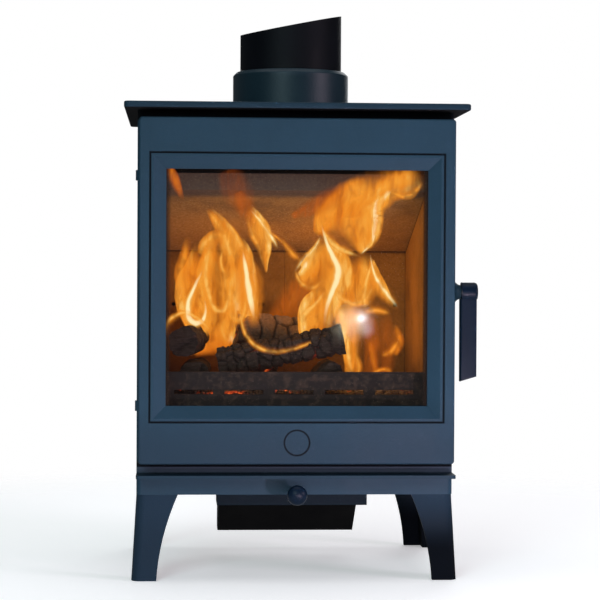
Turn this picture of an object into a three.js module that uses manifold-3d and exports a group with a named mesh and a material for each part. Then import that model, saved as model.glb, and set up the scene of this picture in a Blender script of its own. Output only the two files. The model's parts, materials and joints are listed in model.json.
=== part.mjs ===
// Glazed wood stove on four tapered legs, with a side-hung door, a turning latch handle,
// a push-pull air control, and a brick-lined firebox holding a laid fire.
// Millimetres. +X is the stove's right, +Y its back, +Z up. While it is drawn, x = 0 is the
// middle, y = 0 the front edge of the top plate and z = 0 the floor.

import * as THREE from 'three';
import { mergeVertices } from 'three/addons/utils/BufferGeometryUtils.js';
import Module from 'manifold-3d';

const wasm = await Module();
wasm.setup();

// ---------- Driving dimensions ----------

// Height stack, from the floor up
const legHeight = 102.5;
const skirtHeight = 22;
const basePlateThickness = 4;
const bodyHeight = 432.5;
const topPlateThickness = 8;

// Body shell
const bodyWidth = 379;
const bodySetback = 35;          // front face of the body behind the top plate's front edge
const rearOverhang = 15;         // top plate's back edge behind the body
const sideOverhang = 15.5;       // top plate's side edge beyond the body
const panelThickness = 5;
const frameThickness = 10;
const frameCornerRadius = 5;
const topPlateDepth = 345;
const topPlateCornerRadius = 6;
const topPlateEdgeRadius = 2;
const ashLipFront = 2;           // front edge of the base plate behind the top plate's front edge
const ashLipCornerRadius = 4;
const skirtThickness = 6;

// Legs
const legTopWidth = 49.5;
const legFootWidth = 30;
const legFlare = 5.7;
const legWall = 8;
const legCornerRadius = 11;
const legLugWidth = 28;
const legLugDrop = 8;

// Flue
const flueBore = 117;
const pipeDiameter = 127;
const pipeWall = 2;
const pipeCentreRise = 109.5;    // middle of the mitred cut above the top plate
const pipeMitreRight = 0.2;      // rise of the cut per mm to the right
const pipeMitreBack = 0.085;     // rise of the cut per mm to the back
const collarDiameter = 145;
const collarHeight = 50;
const collarChamfer = 4.5;
const collarSeat = 6;
const pipeClearance = 0.5;

// Door
const doorSideGap = 2.5;         // door's side edge inside the body's
const doorThickness = 30;
const doorSideRim = 5;
const doorTopGap = 10.5;
const doorBottomGap = 13.5;
const doorCornerRadius = 4;
const doorEdgeRadius = 2.5;
const doorSkin = 6;
const stileWidth = 32;
const topRailHeight = 60.5;
const bottomRailHeight = 68.5;
const bevelWidth = 14.5;
const bevelDepth = 8;
const grooveOffset = 18.8;       // from the window's edge to the middle of the groove
const grooveWidth = 2.4;
const grooveDepth = 1.8;
const roundelDiameter = 31;
const roundelDepth = 0.7;
const roundelRise = 25.5;        // centre of the roundel above the door's lower edge

// Glass and seals
const glassThickness = 4;
const glassOverlap = 4.6;
const glassSideClearance = 0.4;
const glassSeatDepth = 10;
const gasketThickness = 2;
const gasketWidth = 3.5;
const retainerThickness = 1.5;
const retainerHeight = 17;
const retainerLength = 120;
const retainerGrip = 4;          // how far a retainer reaches over the glass
const retainerGap = 1;
const screwRadius = 2;
const screwHeadRadius = 4;
const screwHeadHeight = 2.4;
const screwHeadCrown = 0.8;
const screwHeadChamfer = 1.4;
const screwDepth = 4;
const screwSpread = 42;          // from the retainer's middle
const screwInset = 4.25;         // from the retainer's outer edge
const screwFacets = 12;
const sealWidth = 8;
const sealStileInset = 10.5;     // from the window's edge to the middle of the rope
const sealRailInset = 25;
const sealChannelDepth = 4;
const sealWall = 1.5;
const sealRound = 1.5;
const openingLap = 7;            // from the frame's opening to the middle of the rope

// Hinges
const hingePinRadius = 4;
const hingeLugRadius = 9;
const hingeLugHeight = 12;
const hingeAxisInset = 5;        // pin axis inside the door's left edge
const hingeAxisDepth = 13.5;     // pin axis behind the door's face
const hingeInset = 68.5;         // lug centre from the door's top and bottom edges
const hingeGap = 0.5;
const lugRoom = 1;              // between a lug's round end and the door's pocket
const pinFloor = 3;              // metal left under each pin
const pinTopGap = 1;
const knuckleHeight = 14;
const knuckleBack = 24;
const lugArmLeft = 6;
const lugArmRight = 8;
const pinClearance = 0.15;

// Handle and latch
const spindleRadius = 5;
const spindleTailRadius = 3.8;
const spindleTail = 5;
const spindleSink = 12;          // length of spindle inside the hub
const shoulderGap = 0.5;         // between the spindle's shoulder and the pocket wall
const bushOuterRadius = 13.7;
const bushInnerRadius = 8.2;
const bushLength = 8;
const hubRadius = 11.5;
const hubLength = 19.5;
const hubEndRadius = 4;
const hubFlatDrop = 8.5;
const hubGap = 0.5;
const gripWidth = 20;
const gripDepth = 14;
const gripLength = 97.5;
const gripSlant = 4.8;
const gripEdgeRadius = 2.5;
const gripInset = 1.6;
const hookThickness = 6;
const hookHubRadius = 7.2;
const hookReach = 28;
const hookTipThickness = 6;
const hookTipRise = 10;
const hookArmTop = 2;
const hookArmBottom = -6;
const strikeThickness = 2.5;
const strikeWidth = 15.5;
const strikeRise = 20;
const strikeDrop = 32;
const strikeInset = 0.5;         // strike plate's inner edge inside the door's back pocket wall
const slotRise = 4;
const slotDrop = 24;
const slotPocketRise = 13;
const slotSideClearance = 0.7;

// Firebox
const floorRise = 31.5;          // air space between the base plate and the firebox floor
const floorThickness = 4;
const floorBrickThickness = 26;
const brickThickness = 20;
const rearBrickThickness = 25;
const brickSideGap = 4.5;        // air space between a side brick and the panel
const brickRearGap = 14;         // air space between the rear bricks and the panel, which the riser fills
const brickFrontGap = 5;
const brickGap = 0.5;
const baffleThickness = 20;
const baffleSetback = 25;        // front edge of the baffle behind the front casting
const baffleFrontDrop = 40.5;    // front of the baffle's underside below the frame's opening
const baffleSlope = 0.331;       // rise per mm towards the door
const baffleSeatGap = 0.3;
const airHoleRadius = 2.7;
const airHoleInset = 3.75;       // from the riser's side edge to the outer hole
const airHoleHeight = 135;       // above the floor bricks
const airHolesPerBrick = 3;
const riserInset = 10;           // riser's side edge inside the firebox wall
const riserRise = 10.5;          // how far the riser stands above the back of the baffle
const sheetThickness = 1.5;
const airwashDrop = 12;
const airwashHeight = 40;
const airwashDepth = 9;
const guardSetback = 13;         // behind the front casting
const guardThickness = 8;
const guardHeight = 58;
const guardSlotBottom = 31;
const guardSlotHeight = 5.5;
const guardSlots = 5;
const guardPostWidth = 14;
const guardSideGap = 1;
const emberDepth = 24;
const emberCrown = 8;
const logRadius = 20;
const logLump = 0.09;            // swellings round a log, as a share of its radius
const logSplit = 0.1;
const logChamfer = 0.12;

// Air supply under the base
const ductWidth = 184.5;
const ductFront = 95;
const ductLength = 55;
const ductDrop = 20;             // how far the duct shows below the skirt
const ductWall = 3;
const inletSideInset = 4.25;     // inlet's side inside the duct's
const inletShoulder = 103;       // height where the sloping front starts
const inletBottom = 31.5;
const inletFlat = 40;            // level part of the inlet's bottom, behind its slope
const inletRearInset = 40;       // inlet's back in front of the body's
const inletMouthInset = 13;      // inlet's mouth inside its side
const inletMouthHeight = 20;
const spigotRadius = 32;
const spigotWall = 2;
const spigotLength = 30;
const spigotHeight = 74;
const basePortWidth = 120;
const basePortDepth = 30;
const rodRadius = 4;
const rodHeight = 106.8;
const rodClearance = 0.5;
const knobRadius = 12;
const knobDepth = 15;
const knobFront = -20;
const damperThickness = 3;
const damperSetback = 14;        // behind the duct's front wall at rest
const damperEdgeGap = 2;

// ---------- Derived places ----------

const skirtTop = legHeight + skirtHeight;
const baseTop = skirtTop + basePlateThickness;
const bodyTop = baseTop + bodyHeight;
const plateTop = bodyTop + topPlateThickness;
const bodyHalf = bodyWidth / 2;
const topPlateWidth = bodyWidth + 2 * sideOverhang;
const bodyFront = bodySetback;
const bodyBack = topPlateDepth - rearOverhang;
const frameBack = bodyFront + frameThickness;
const flueY = topPlateDepth / 2;

const doorHalf = bodyHalf - doorSideGap;
const doorBottom = baseTop + doorBottomGap;
const doorTop = bodyTop - doorTopGap;
const doorBack = doorThickness;
const windowHalf = doorHalf - stileWidth;
const windowBottom = doorBottom + bottomRailHeight;
const windowTop = doorTop - topRailHeight;
const sealHalf = windowHalf + sealStileInset;
const sealBottom = windowBottom - sealRailInset;
const sealTop = windowTop + sealRailInset;
const sealFront = doorBack - sealChannelDepth;
const openingHalf = sealHalf - openingLap;
const openingBottom = sealBottom + openingLap;
const openingTop = sealTop - openingLap;
const pocketInner = sealHalf + sealWidth / 2 + sealWall;
const glassFront = glassSeatDepth + gasketThickness;
const glassBack = glassFront + glassThickness;

const hingeX = -doorHalf + hingeAxisInset;
const hingeY = hingeAxisDepth;
const hingeHeights = { upper: doorTop - hingeInset, lower: doorBottom + hingeInset };
const knuckleInner = hingeX + hingeLugRadius + lugRoom;

const spindleY = hingeY;
const spindleZ = (doorBottom + doorTop) / 2;
const hookX = (pocketInner + doorHalf - doorSideRim) / 2;
const bushEnd = doorHalf + bushLength;
const hubStart = bushEnd + hubGap;
const hubEnd = hubStart + hubLength;
const hubFlat = spindleZ - hubFlatDrop;

const floorBottom = baseTop + floorRise;
const floorTop = floorBottom + floorThickness;
const hearth = floorTop + floorBrickThickness;
const fireboxHalf = bodyHalf - panelThickness - brickSideGap - brickThickness;
const brickFront = frameBack + brickFrontGap;
const rearBrickBack = bodyBack - panelThickness - brickRearGap;
const fireboxBack = rearBrickBack - rearBrickThickness;
const baffleFront = frameBack + baffleSetback;
const riserHalf = fireboxHalf - riserInset;
const airHolePitch = (riserHalf - airHoleInset) / (airHolesPerBrick - 0.5);
const guardFront = frameBack + guardSetback;
const guardBack = guardFront + guardThickness;

const ductBack = ductFront + ductLength;
const ductBottom = legHeight - ductDrop;
const inletHalf = ductWidth / 2 - inletSideInset;
const inletBack = bodyBack - inletRearInset;
const inletSlopeLength = inletBack - inletFlat - ductBack;
const damperFront = ductFront + ductWall + damperSetback;

// ---------- Materials ----------

function finish(color, roughness, metalness) {
  return new THREE.MeshStandardMaterial({ color, roughness, metalness });
}

const stovePaint = finish(0x2d3f4f, 0.55, 0.3);
const blackSteel = finish(0x14161a, 0.6, 0.4);
const handlePaint = finish(0x23262f, 0.5, 0.3);
const plainSteel = finish(0x8b8d90, 0.35, 0.9);
const firebrick = finish(0x9a7f62, 0.95, 0);
const ropeSeal = finish(0x77736b, 0.95, 0);
const charredWood = finish(0x2b2119, 0.95, 0);
const embers = finish(0xb5481c, 0.9, 0);
const stoveGlass = new THREE.MeshStandardMaterial({
  color: 0xdfe6e4, roughness: 0.05, metalness: 0, transparent: true, opacity: 0.3,
});

// ---------- Geometry helpers ----------

const facets = 32;
const roundFacets = 64;
const past = 1;                  // how far a cutting tool runs past the face that it opens

function boxBetween(low, high) {
  const size = high.map((value, i) => value - low[i]);
  const geometry = new THREE.BoxGeometry(...size);
  return geometry.translate(...low.map((value, i) => value + size[i] / 2));
}

// A box that is symmetric about x = 0.
function slabAcross(halfWidth, [yLow, yHigh], [zLow, zHigh]) {
  return boxBetween([-halfWidth, yLow, zLow], [halfWidth, yHigh, zHigh]);
}

// The outline's x and y become the stove's x and z, and it runs back from yLow to yHigh.
function extrudeBack(outline, yLow, yHigh, options = {}) {
  const geometry = new THREE.ExtrudeGeometry(outline, { depth: yHigh - yLow, bevelEnabled: false, ...options });
  return geometry.rotateX(Math.PI / 2).translate(0, yHigh, 0);
}

// The outline's x and y become the stove's y and z, and it runs across from xLow to xHigh.
function extrudeAcross(outline, xLow, xHigh, options = {}) {
  const geometry = new THREE.ExtrudeGeometry(outline, { depth: xHigh - xLow, bevelEnabled: false, ...options });
  const turn = new THREE.Matrix4().makeBasis(
    new THREE.Vector3(0, 1, 0), new THREE.Vector3(0, 0, 1), new THREE.Vector3(1, 0, 0));
  return geometry.applyMatrix4(turn).translate(xLow, 0, 0);
}

function extrudeUp(outline, zLow, zHigh, options = {}) {
  const geometry = new THREE.ExtrudeGeometry(outline, { depth: zHigh - zLow, bevelEnabled: false, ...options });
  return geometry.translate(0, 0, zLow);
}

function polygon(points) {
  return new THREE.Shape(points.map(([a, b]) => new THREE.Vector2(a, b)));
}

function roundedRectangle([left, right], [low, high], radius) {
  const shape = new THREE.Shape();
  shape.moveTo(left + radius, low);
  shape.lineTo(right - radius, low);
  shape.absarc(right - radius, low + radius, radius, -Math.PI / 2, 0);
  shape.lineTo(right, high - radius);
  shape.absarc(right - radius, high - radius, radius, 0, Math.PI / 2);
  shape.lineTo(left + radius, high);
  shape.absarc(left + radius, high - radius, radius, Math.PI / 2, Math.PI);
  shape.lineTo(left, low + radius);
  shape.absarc(left + radius, low + radius, radius, Math.PI, 1.5 * Math.PI);
  return shape;
}

function rectangularRing(halfWidth, low, high, width) {
  const ring = polygon([[-halfWidth, low], [halfWidth, low], [halfWidth, high], [-halfWidth, high]]);
  const inner = halfWidth - width;
  ring.holes.push(new THREE.Path([
    new THREE.Vector2(-inner, low + width), new THREE.Vector2(-inner, high - width),
    new THREE.Vector2(inner, high - width), new THREE.Vector2(inner, low + width)]));
  return ring;
}

// A revolved profile of [radius, station] points, closed on its own axis or on itself.
function revolve(profile, segments = facets) {
  const points = profile.map(([radius, station]) => new THREE.Vector2(radius, station));
  return new THREE.LatheGeometry(points, segments);
}

function alongX(geometry) {
  return geometry.rotateZ(-Math.PI / 2);
}

function alongY(geometry) {
  return geometry;
}

function alongZ(geometry) {
  return geometry.rotateX(Math.PI / 2);
}

function cylinder(turn, radius, low, high, segments = facets) {
  const geometry = new THREE.CylinderGeometry(radius, radius, high - low, segments);
  return turn(geometry.translate(0, (low + high) / 2, 0));
}

function roundedStep(radiusAt, stationAt, radius, steps = 4) {
  return Array.from({ length: steps + 1 }, (_, i) => {
    const angle = (Math.PI / 2) * (i / steps);
    return [radiusAt - radius + radius * Math.cos(angle), stationAt - radius + radius * Math.sin(angle)];
  });
}

function toSolid(geometry) {
  const bare = new THREE.BufferGeometry();
  bare.setAttribute('position', geometry.getAttribute('position').clone());
  bare.setIndex(geometry.getIndex());
  const merged = mergeVertices(bare, 1e-4);
  return new wasm.Manifold(new wasm.Mesh({
    numProp: 3,
    vertProperties: Float32Array.from(merged.getAttribute('position').array),
    triVerts: Uint32Array.from(merged.getIndex().array),
  }));
}

function fromSolid(solid) {
  const mesh = solid.getMesh();
  const geometry = new THREE.BufferGeometry();
  geometry.setAttribute('position', new THREE.BufferAttribute(mesh.vertProperties, 3));
  geometry.setIndex(new THREE.BufferAttribute(mesh.triVerts, 1));
  return geometry;
}

function cut(body, ...tools) {
  return fromSolid(tools.reduce((solid, tool) => solid.subtract(toSolid(tool)), toSolid(body)));
}

function join(first, ...others) {
  return fromSolid(others.reduce((solid, other) => solid.add(toSolid(other)), toSolid(first)));
}

// A closed skin through plan sections of equal point count, stacked from the lowest up.
function loftUp(sections) {
  const count = sections[0].points.length;
  const positions = sections.flatMap(({ z, points }) => points.flatMap(([x, y]) => [x, y, z]));
  const index = [];
  for (let level = 0; level + 1 < sections.length; level += 1) {
    for (let i = 0; i < count; i += 1) {
      const a = level * count + i;
      const b = level * count + ((i + 1) % count);
      index.push(a, b, b + count, a, b + count, a + count);
    }
  }
  const outline = sections[0].points.map(([x, y]) => new THREE.Vector2(x, y));
  const roof = (sections.length - 1) * count;
  for (const [a, b, c] of THREE.ShapeUtils.triangulateShape(outline, [])) {
    index.push(c, b, a, roof + a, roof + b, roof + c);
  }
  const geometry = new THREE.BufferGeometry();
  geometry.setAttribute('position', new THREE.Float32BufferAttribute(positions, 3));
  geometry.setIndex(index);
  return geometry;
}

// ---------- Scene graph ----------

const group = new THREE.Group();
const body = new THREE.Group();
const airControl = new THREE.Group();
const door = new THREE.Group();
const handle = new THREE.Group();
group.add(body, airControl, door);
door.add(handle);

function addPiece(parent, name, geometry, material) {
  const mesh = new THREE.Mesh(geometry, material);
  mesh.name = name;
  parent.add(mesh);
  return mesh;
}

// ---------- Base, skirt and legs ----------

function makeBasePlate() {
  const outline = new THREE.Shape();
  outline.moveTo(-bodyHalf, bodyBack);
  outline.lineTo(-bodyHalf, ashLipFront + ashLipCornerRadius);
  outline.absarc(-bodyHalf + ashLipCornerRadius, ashLipFront + ashLipCornerRadius, ashLipCornerRadius,
    Math.PI, 1.5 * Math.PI);
  outline.lineTo(bodyHalf - ashLipCornerRadius, ashLipFront);
  outline.absarc(bodyHalf - ashLipCornerRadius, ashLipFront + ashLipCornerRadius, ashLipCornerRadius,
    -Math.PI / 2, 0);
  outline.lineTo(bodyHalf, bodyBack);
  const portMiddle = (ductFront + ductBack) / 2;
  const port = slabAcross(basePortWidth / 2,
    [portMiddle - basePortDepth / 2, portMiddle + basePortDepth / 2], [skirtTop - past, baseTop + past]);
  addPiece(body, 'base_plate', cut(extrudeUp(outline, skirtTop, baseTop), port), stovePaint);
}

function makeSkirt() {
  const inner = bodyHalf - skirtThickness;
  const front = new THREE.Shape();
  front.moveTo(-bodyHalf, bodyFront + skirtThickness);
  front.absarc(-bodyHalf + skirtThickness, bodyFront + skirtThickness, skirtThickness, Math.PI, 1.5 * Math.PI);
  front.lineTo(inner, bodyFront);
  front.absarc(inner, bodyFront + skirtThickness, skirtThickness, -Math.PI / 2, 0);
  const rodNotch = cylinder(alongY, rodRadius + rodClearance, bodyFront - past, bodyFront + skirtThickness + past)
    .translate(0, 0, rodHeight);
  const rodNotchMouth = slabAcross(rodRadius + rodClearance,
    [bodyFront - past, bodyFront + skirtThickness + past], [legHeight - past, rodHeight]);
  addPiece(body, 'skirt_front', cut(extrudeUp(front, legHeight, skirtTop), rodNotch, rodNotchMouth), stovePaint);

  const sideRun = [bodyFront + skirtThickness, bodyBack];
  for (const [name, side] of [['skirt_left', -1], ['skirt_right', 1]]) {
    const middle = side * (bodyHalf - skirtThickness / 2);
    const strip = slabAcross(skirtThickness / 2, sideRun, [legHeight, skirtTop]);
    addPiece(body, name, strip, stovePaint).position.x = middle;
  }
  addPiece(body, 'skirt_rear',
    slabAcross(inner, [bodyBack - skirtThickness, bodyBack], [legHeight, skirtTop]), stovePaint);
}

// One leg's plan at a height, for the front right corner: an angle with a round outer corner,
// whose arms grow towards the top while the corner itself flares out towards the foot.
function legSection(z, width) {
  const flare = legFlare * (1 - z / legHeight);
  const cornerX = bodyHalf + flare;
  const cornerY = bodyFront - flare;
  const points = [];
  const steps = 6;
  for (let i = 0; i <= steps; i += 1) {
    const angle = (Math.PI / 2) * (i / steps) - Math.PI / 2;
    points.push([
      cornerX - legCornerRadius + legCornerRadius * Math.cos(angle),
      cornerY + legCornerRadius + legCornerRadius * Math.sin(angle)]);
  }
  points.push([cornerX, cornerY + width], [cornerX - legWall, cornerY + width]);
  points.push([cornerX - legWall, cornerY + legWall], [cornerX - width, cornerY + legWall]);
  points.push([cornerX - width, cornerY]);
  return { z, points };
}

function makeLegs() {
  const levels = 9;
  const sections = Array.from({ length: levels }, (_, i) => {
    const rise = i / (levels - 1);
    return legSection(rise * legHeight, legFootWidth + (legTopWidth - legFootWidth) * rise ** 2);
  });
  const lugOuter = bodyHalf - skirtThickness;
  const lug = boxBetween(
    [lugOuter - legLugWidth, bodyFront + skirtThickness, legHeight - legLugDrop],
    [lugOuter, bodyFront + skirtThickness + legLugWidth, skirtTop]);
  const frontRight = join(loftUp(sections), lug);
  const bodyMiddle = (bodyFront + bodyBack) / 2;
  for (const [name, sideways, endways] of [
    ['leg_front_right', 1, 1], ['leg_front_left', -1, 1],
    ['leg_rear_right', 1, -1], ['leg_rear_left', -1, -1]]) {
    const leg = frontRight.clone().translate(0, -bodyMiddle, 0).scale(sideways, endways, 1);
    if (sideways * endways < 0) leg.setIndex(Array.from(leg.getIndex().array).reverse());
    addPiece(body, name, leg.translate(0, bodyMiddle, 0), stovePaint);
  }
}

// ---------- Body shell ----------

function makeShell() {
  for (const [name, side] of [['side_panel_left', -1], ['side_panel_right', 1]]) {
    const panel = slabAcross(panelThickness / 2, [frameBack, bodyBack], [baseTop, bodyTop]);
    addPiece(body, name, panel, stovePaint).position.x = side * (bodyHalf - panelThickness / 2);
  }
  addPiece(body, 'rear_panel',
    slabAcross(bodyHalf - panelThickness, [bodyBack - panelThickness, bodyBack], [baseTop, bodyTop]), stovePaint);
}

function latchSlot(yLow, yHigh, rise) {
  const half = hookThickness / 2 + slotSideClearance;
  return boxBetween([hookX - half, yLow, spindleZ - slotDrop], [hookX + half, yHigh, spindleZ + rise]);
}

function makeFrontFrame() {
  const plan = new THREE.Shape();
  plan.moveTo(-bodyHalf, frameBack);
  plan.lineTo(-bodyHalf, bodyFront + frameCornerRadius);
  plan.absarc(-bodyHalf + frameCornerRadius, bodyFront + frameCornerRadius, frameCornerRadius,
    Math.PI, 1.5 * Math.PI);
  plan.lineTo(bodyHalf - frameCornerRadius, bodyFront);
  plan.absarc(bodyHalf - frameCornerRadius, bodyFront + frameCornerRadius, frameCornerRadius, -Math.PI / 2, 0);
  plan.lineTo(bodyHalf, frameBack);
  const opening = slabAcross(openingHalf, [bodyFront - past, frameBack + past], [openingBottom, openingTop]);
  const slot = latchSlot(bodyFront - past, frameBack + past, slotPocketRise);
  addPiece(body, 'front_frame', cut(extrudeUp(plan, baseTop, bodyTop), opening, slot), stovePaint);

  const inner = pocketInner - strikeInset;
  const strike = boxBetween(
    [inner, bodyFront - strikeThickness, spindleZ - strikeDrop],
    [inner + strikeWidth, bodyFront, spindleZ + strikeRise]);
  const aperture = latchSlot(bodyFront - strikeThickness - past, bodyFront + past, slotRise);
  addPiece(body, 'strike_plate', cut(strike, aperture), plainSteel);
}

function makeTopPlate() {
  const half = topPlateWidth / 2 - topPlateEdgeRadius;
  const outline = roundedRectangle([-half, half],
    [topPlateEdgeRadius, topPlateDepth - topPlateEdgeRadius], topPlateCornerRadius - topPlateEdgeRadius);
  const plate = extrudeUp(outline, bodyTop + topPlateEdgeRadius, plateTop - topPlateEdgeRadius, {
    bevelEnabled: true, bevelSize: topPlateEdgeRadius, bevelThickness: topPlateEdgeRadius,
    bevelSegments: 3, curveSegments: 6,
  });
  const hole = cylinder(alongZ, flueBore / 2, bodyTop - past, plateTop + past, roundFacets).translate(0, flueY, 0);
  addPiece(body, 'top_plate', cut(plate, hole), stovePaint);
}

function makeFlue() {
  const bore = pipeDiameter / 2 + pipeClearance;
  const outer = collarDiameter / 2;
  const collar = revolve([
    [flueBore / 2, 0], [outer, 0], [outer, collarHeight - collarChamfer],
    [outer - collarChamfer, collarHeight], [bore, collarHeight], [bore, collarSeat],
    [flueBore / 2, collarSeat], [flueBore / 2, 0]], roundFacets);
  addPiece(body, 'flue_collar', alongZ(collar), stovePaint).position.set(0, flueY, plateTop);

  const top = pipeCentreRise + pipeDiameter;
  const radius = pipeDiameter / 2;
  const tube = alongZ(revolve([
    [radius - pipeWall, collarSeat], [radius, collarSeat], [radius, top],
    [radius - pipeWall, top], [radius - pipeWall, collarSeat]], roundFacets));
  const reach = pipeDiameter;
  const corners = [[-reach, -reach], [reach, -reach], [reach, reach], [-reach, reach]];
  const above = loftUp([{ z: 0, points: corners }, { z: pipeDiameter * 2, points: corners }]);
  const place = above.getAttribute('position');
  for (let i = 0; i < place.count; i += 1) {
    const mitre = pipeMitreRight * place.getX(i) + pipeMitreBack * place.getY(i);
    place.setZ(i, place.getZ(i) + pipeCentreRise + mitre);
  }
  addPiece(body, 'flue_pipe', cut(tube, above), blackSteel).position.set(0, flueY, plateTop);
}

// ---------- Firebox ----------

// Height of the baffle's underside, which the bricks below it follow.
function baffleUnderside(y) {
  return openingTop - baffleFrontDrop - (y - baffleFront) * baffleSlope;
}

function makeFireboxFloor() {
  const half = bodyHalf - panelThickness;
  const section = polygon([
    [-half, baseTop], [-half + floorThickness, baseTop], [-half + floorThickness, floorBottom],
    [half - floorThickness, floorBottom], [half - floorThickness, baseTop], [half, baseTop],
    [half, floorTop], [-half, floorTop]]);
  addPiece(body, 'firebox_floor', extrudeBack(section, frameBack, rearBrickBack), blackSteel);
}

function makeBricks() {
  const half = fireboxHalf - brickGap;
  for (const [name, side] of [['floor_brick_left', -1], ['floor_brick_right', 1]]) {
    const brick = slabAcross((half - brickGap / 2) / 2, [frameBack, fireboxBack - brickGap], [floorTop, hearth]);
    addPiece(body, name, brick, firebrick).position.x = side * (half + brickGap / 2) / 2;
  }

  const sideProfile = polygon([
    [brickFront, floorTop], [rearBrickBack, floorTop], [rearBrickBack, baffleUnderside(rearBrickBack)],
    [brickFront, baffleUnderside(brickFront)]]);
  for (const [name, side] of [['side_brick_left', -1], ['side_brick_right', 1]]) {
    const brick = extrudeAcross(sideProfile, -brickThickness / 2, brickThickness / 2);
    addPiece(body, name, brick, firebrick).position.x = side * (fireboxHalf + brickThickness / 2);
  }

  const rearProfile = polygon([
    [fireboxBack, floorTop], [rearBrickBack, floorTop], [rearBrickBack, baffleUnderside(rearBrickBack)],
    [fireboxBack, baffleUnderside(fireboxBack)]]);
  for (const [name, side] of [['rear_brick_left', -1], ['rear_brick_right', 1]]) {
    const [low, high] = [side * brickGap / 2, side * half].sort((a, b) => a - b);
    const brick = extrudeAcross(rearProfile, low, high);
    addPiece(body, name, cut(brick, ...airHoles(side, fireboxBack - past, rearBrickBack + past)), firebrick);
  }
}

// The row of air holes in one rear brick, which goes on through the sheet behind it.
function airHoles(side, yLow, yHigh) {
  return Array.from({ length: airHolesPerBrick }, (_, i) =>
    cylinder(alongY, airHoleRadius, yLow, yHigh, 12)
      .translate(side * (i + 0.5) * airHolePitch, 0, hearth + airHoleHeight));
}

function makeBaffle() {
  const seat = (y) => baffleUnderside(y) + baffleSeatGap;
  const profile = polygon([
    [baffleFront, seat(baffleFront)], [rearBrickBack, seat(rearBrickBack)],
    [rearBrickBack, seat(rearBrickBack) + baffleThickness], [baffleFront, seat(baffleFront) + baffleThickness]]);
  const half = fireboxHalf + brickThickness;
  addPiece(body, 'baffle', extrudeAcross(profile, -half, half), firebrick);
}

function makeAirRiser() {
  const half = riserHalf;
  const back = rearBrickBack + brickRearGap;
  const plan = polygon([
    [-half, rearBrickBack], [half, rearBrickBack], [half, back], [half - sheetThickness, back],
    [half - sheetThickness, rearBrickBack + sheetThickness],
    [-half + sheetThickness, rearBrickBack + sheetThickness], [-half + sheetThickness, back], [-half, back]]);
  const holes = [-1, 1].flatMap((side) => airHoles(side, rearBrickBack - past, rearBrickBack + sheetThickness + past));
  const top = baffleUnderside(rearBrickBack) + baffleSeatGap + baffleThickness + riserRise;
  addPiece(body, 'air_riser', cut(extrudeUp(plan, baseTop, top), ...holes), blackSteel);
}

function makeAirwashDeflector() {
  const bottom = openingTop - airwashDrop;
  const top = bottom + airwashHeight;
  const back = frameBack + airwashDepth;
  const angle = polygon([
    [back - sheetThickness, bottom], [back, bottom], [back, top], [frameBack, top],
    [frameBack, top - sheetThickness], [back - sheetThickness, top - sheetThickness]]);
  const half = bodyHalf - panelThickness;
  addPiece(body, 'airwash_deflector', extrudeAcross(angle, -half, half), blackSteel);
}

function makeLogGuard() {
  const half = fireboxHalf - guardSideGap;
  const plate = slabAcross(half, [guardFront, guardBack], [hearth, hearth + guardHeight]);
  const slotWidth = (2 * half - (guardSlots + 1) * guardPostWidth) / guardSlots;
  const slots = Array.from({ length: guardSlots }, (_, i) => {
    const left = -half + guardPostWidth + i * (slotWidth + guardPostWidth);
    return boxBetween([left, guardFront - past, hearth + guardSlotBottom],
      [left + slotWidth, guardBack + past, hearth + guardSlotBottom + guardSlotHeight]);
  });
  addPiece(body, 'log_guard', cut(plate, ...slots), blackSteel);
}

// ---------- Fire ----------

function makeEmberBed() {
  const front = guardBack + brickGap;
  const back = fireboxBack - brickGap;
  const section = new THREE.Shape();
  section.moveTo(front, hearth);
  section.lineTo(back, hearth);
  section.lineTo(back, hearth + emberDepth);
  section.quadraticCurveTo((front + back) / 2, hearth + emberDepth + 2 * emberCrown, front, hearth + emberDepth);
  const half = fireboxHalf - brickGap;
  addPiece(body, 'ember_bed', extrudeAcross(section, -half, half, { curveSegments: 10 }), embers);
}

// A split log lying along x: a lumpy section with one flat split face, and chamfered ends.
function splitLog(length, radius, lumps, phase) {
  const sides = 14;
  const points = Array.from({ length: sides }, (_, i) => {
    const angle = (2 * Math.PI * i) / sides;
    const lump = logLump * Math.sin(lumps * angle + phase);
    const split = logSplit * Math.max(0, Math.cos(angle + phase));
    const reach = radius * (1 + lump - split);
    return [reach * Math.cos(angle), reach * Math.sin(angle)];
  });
  const chamfer = radius * logChamfer;
  return extrudeAcross(polygon(points), -length / 2 + chamfer, length / 2 - chamfer, {
    bevelEnabled: true, bevelSize: chamfer, bevelThickness: chamfer, bevelOffset: -chamfer, bevelSegments: 1,
  });
}

// Three logs lie front to back on the embers and carry the three that the window shows. A log runs
// between two points, each a share of the hearth's half width, a share of the way from the guard
// to the rear bricks, and a height over the embers in log radii.
const fireLogs = [
  { name: 'log_base_left', girth: 0.95, lumps: 3, from: [-0.76, 0.135, 1], to: [-0.727, 0.725, 1] },
  { name: 'log_base_middle', girth: 1, lumps: 4, from: [-0.237, 0.395, 1.05], to: [-0.188, 0.893, 1.05] },
  { name: 'log_base_right', girth: 0.95, lumps: 3, from: [0.296, 0.05, 0.9], to: [0.279, 0.459, 0.9] },
  { name: 'log_front', girth: 1, lumps: 4, from: [-0.575, 0.245, 1.684], to: [0.4, 0.173, 3.266] },
  { name: 'log_back', girth: 1.25, lumps: 3, from: [-0.424, 0.565, 3.69], to: [0.174, 0.653, 3.21] },
  { name: 'log_left', girth: 1, lumps: 5, from: [-0.844, 0.158, 3.06], to: [-0.731, 0.697, 3.04] },
];

function inFirebox([across, along, up]) {
  return new THREE.Vector3(across * fireboxHalf, guardBack + along * (fireboxBack - guardBack),
    hearth + emberDepth + emberCrown + up * logRadius);
}

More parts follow.
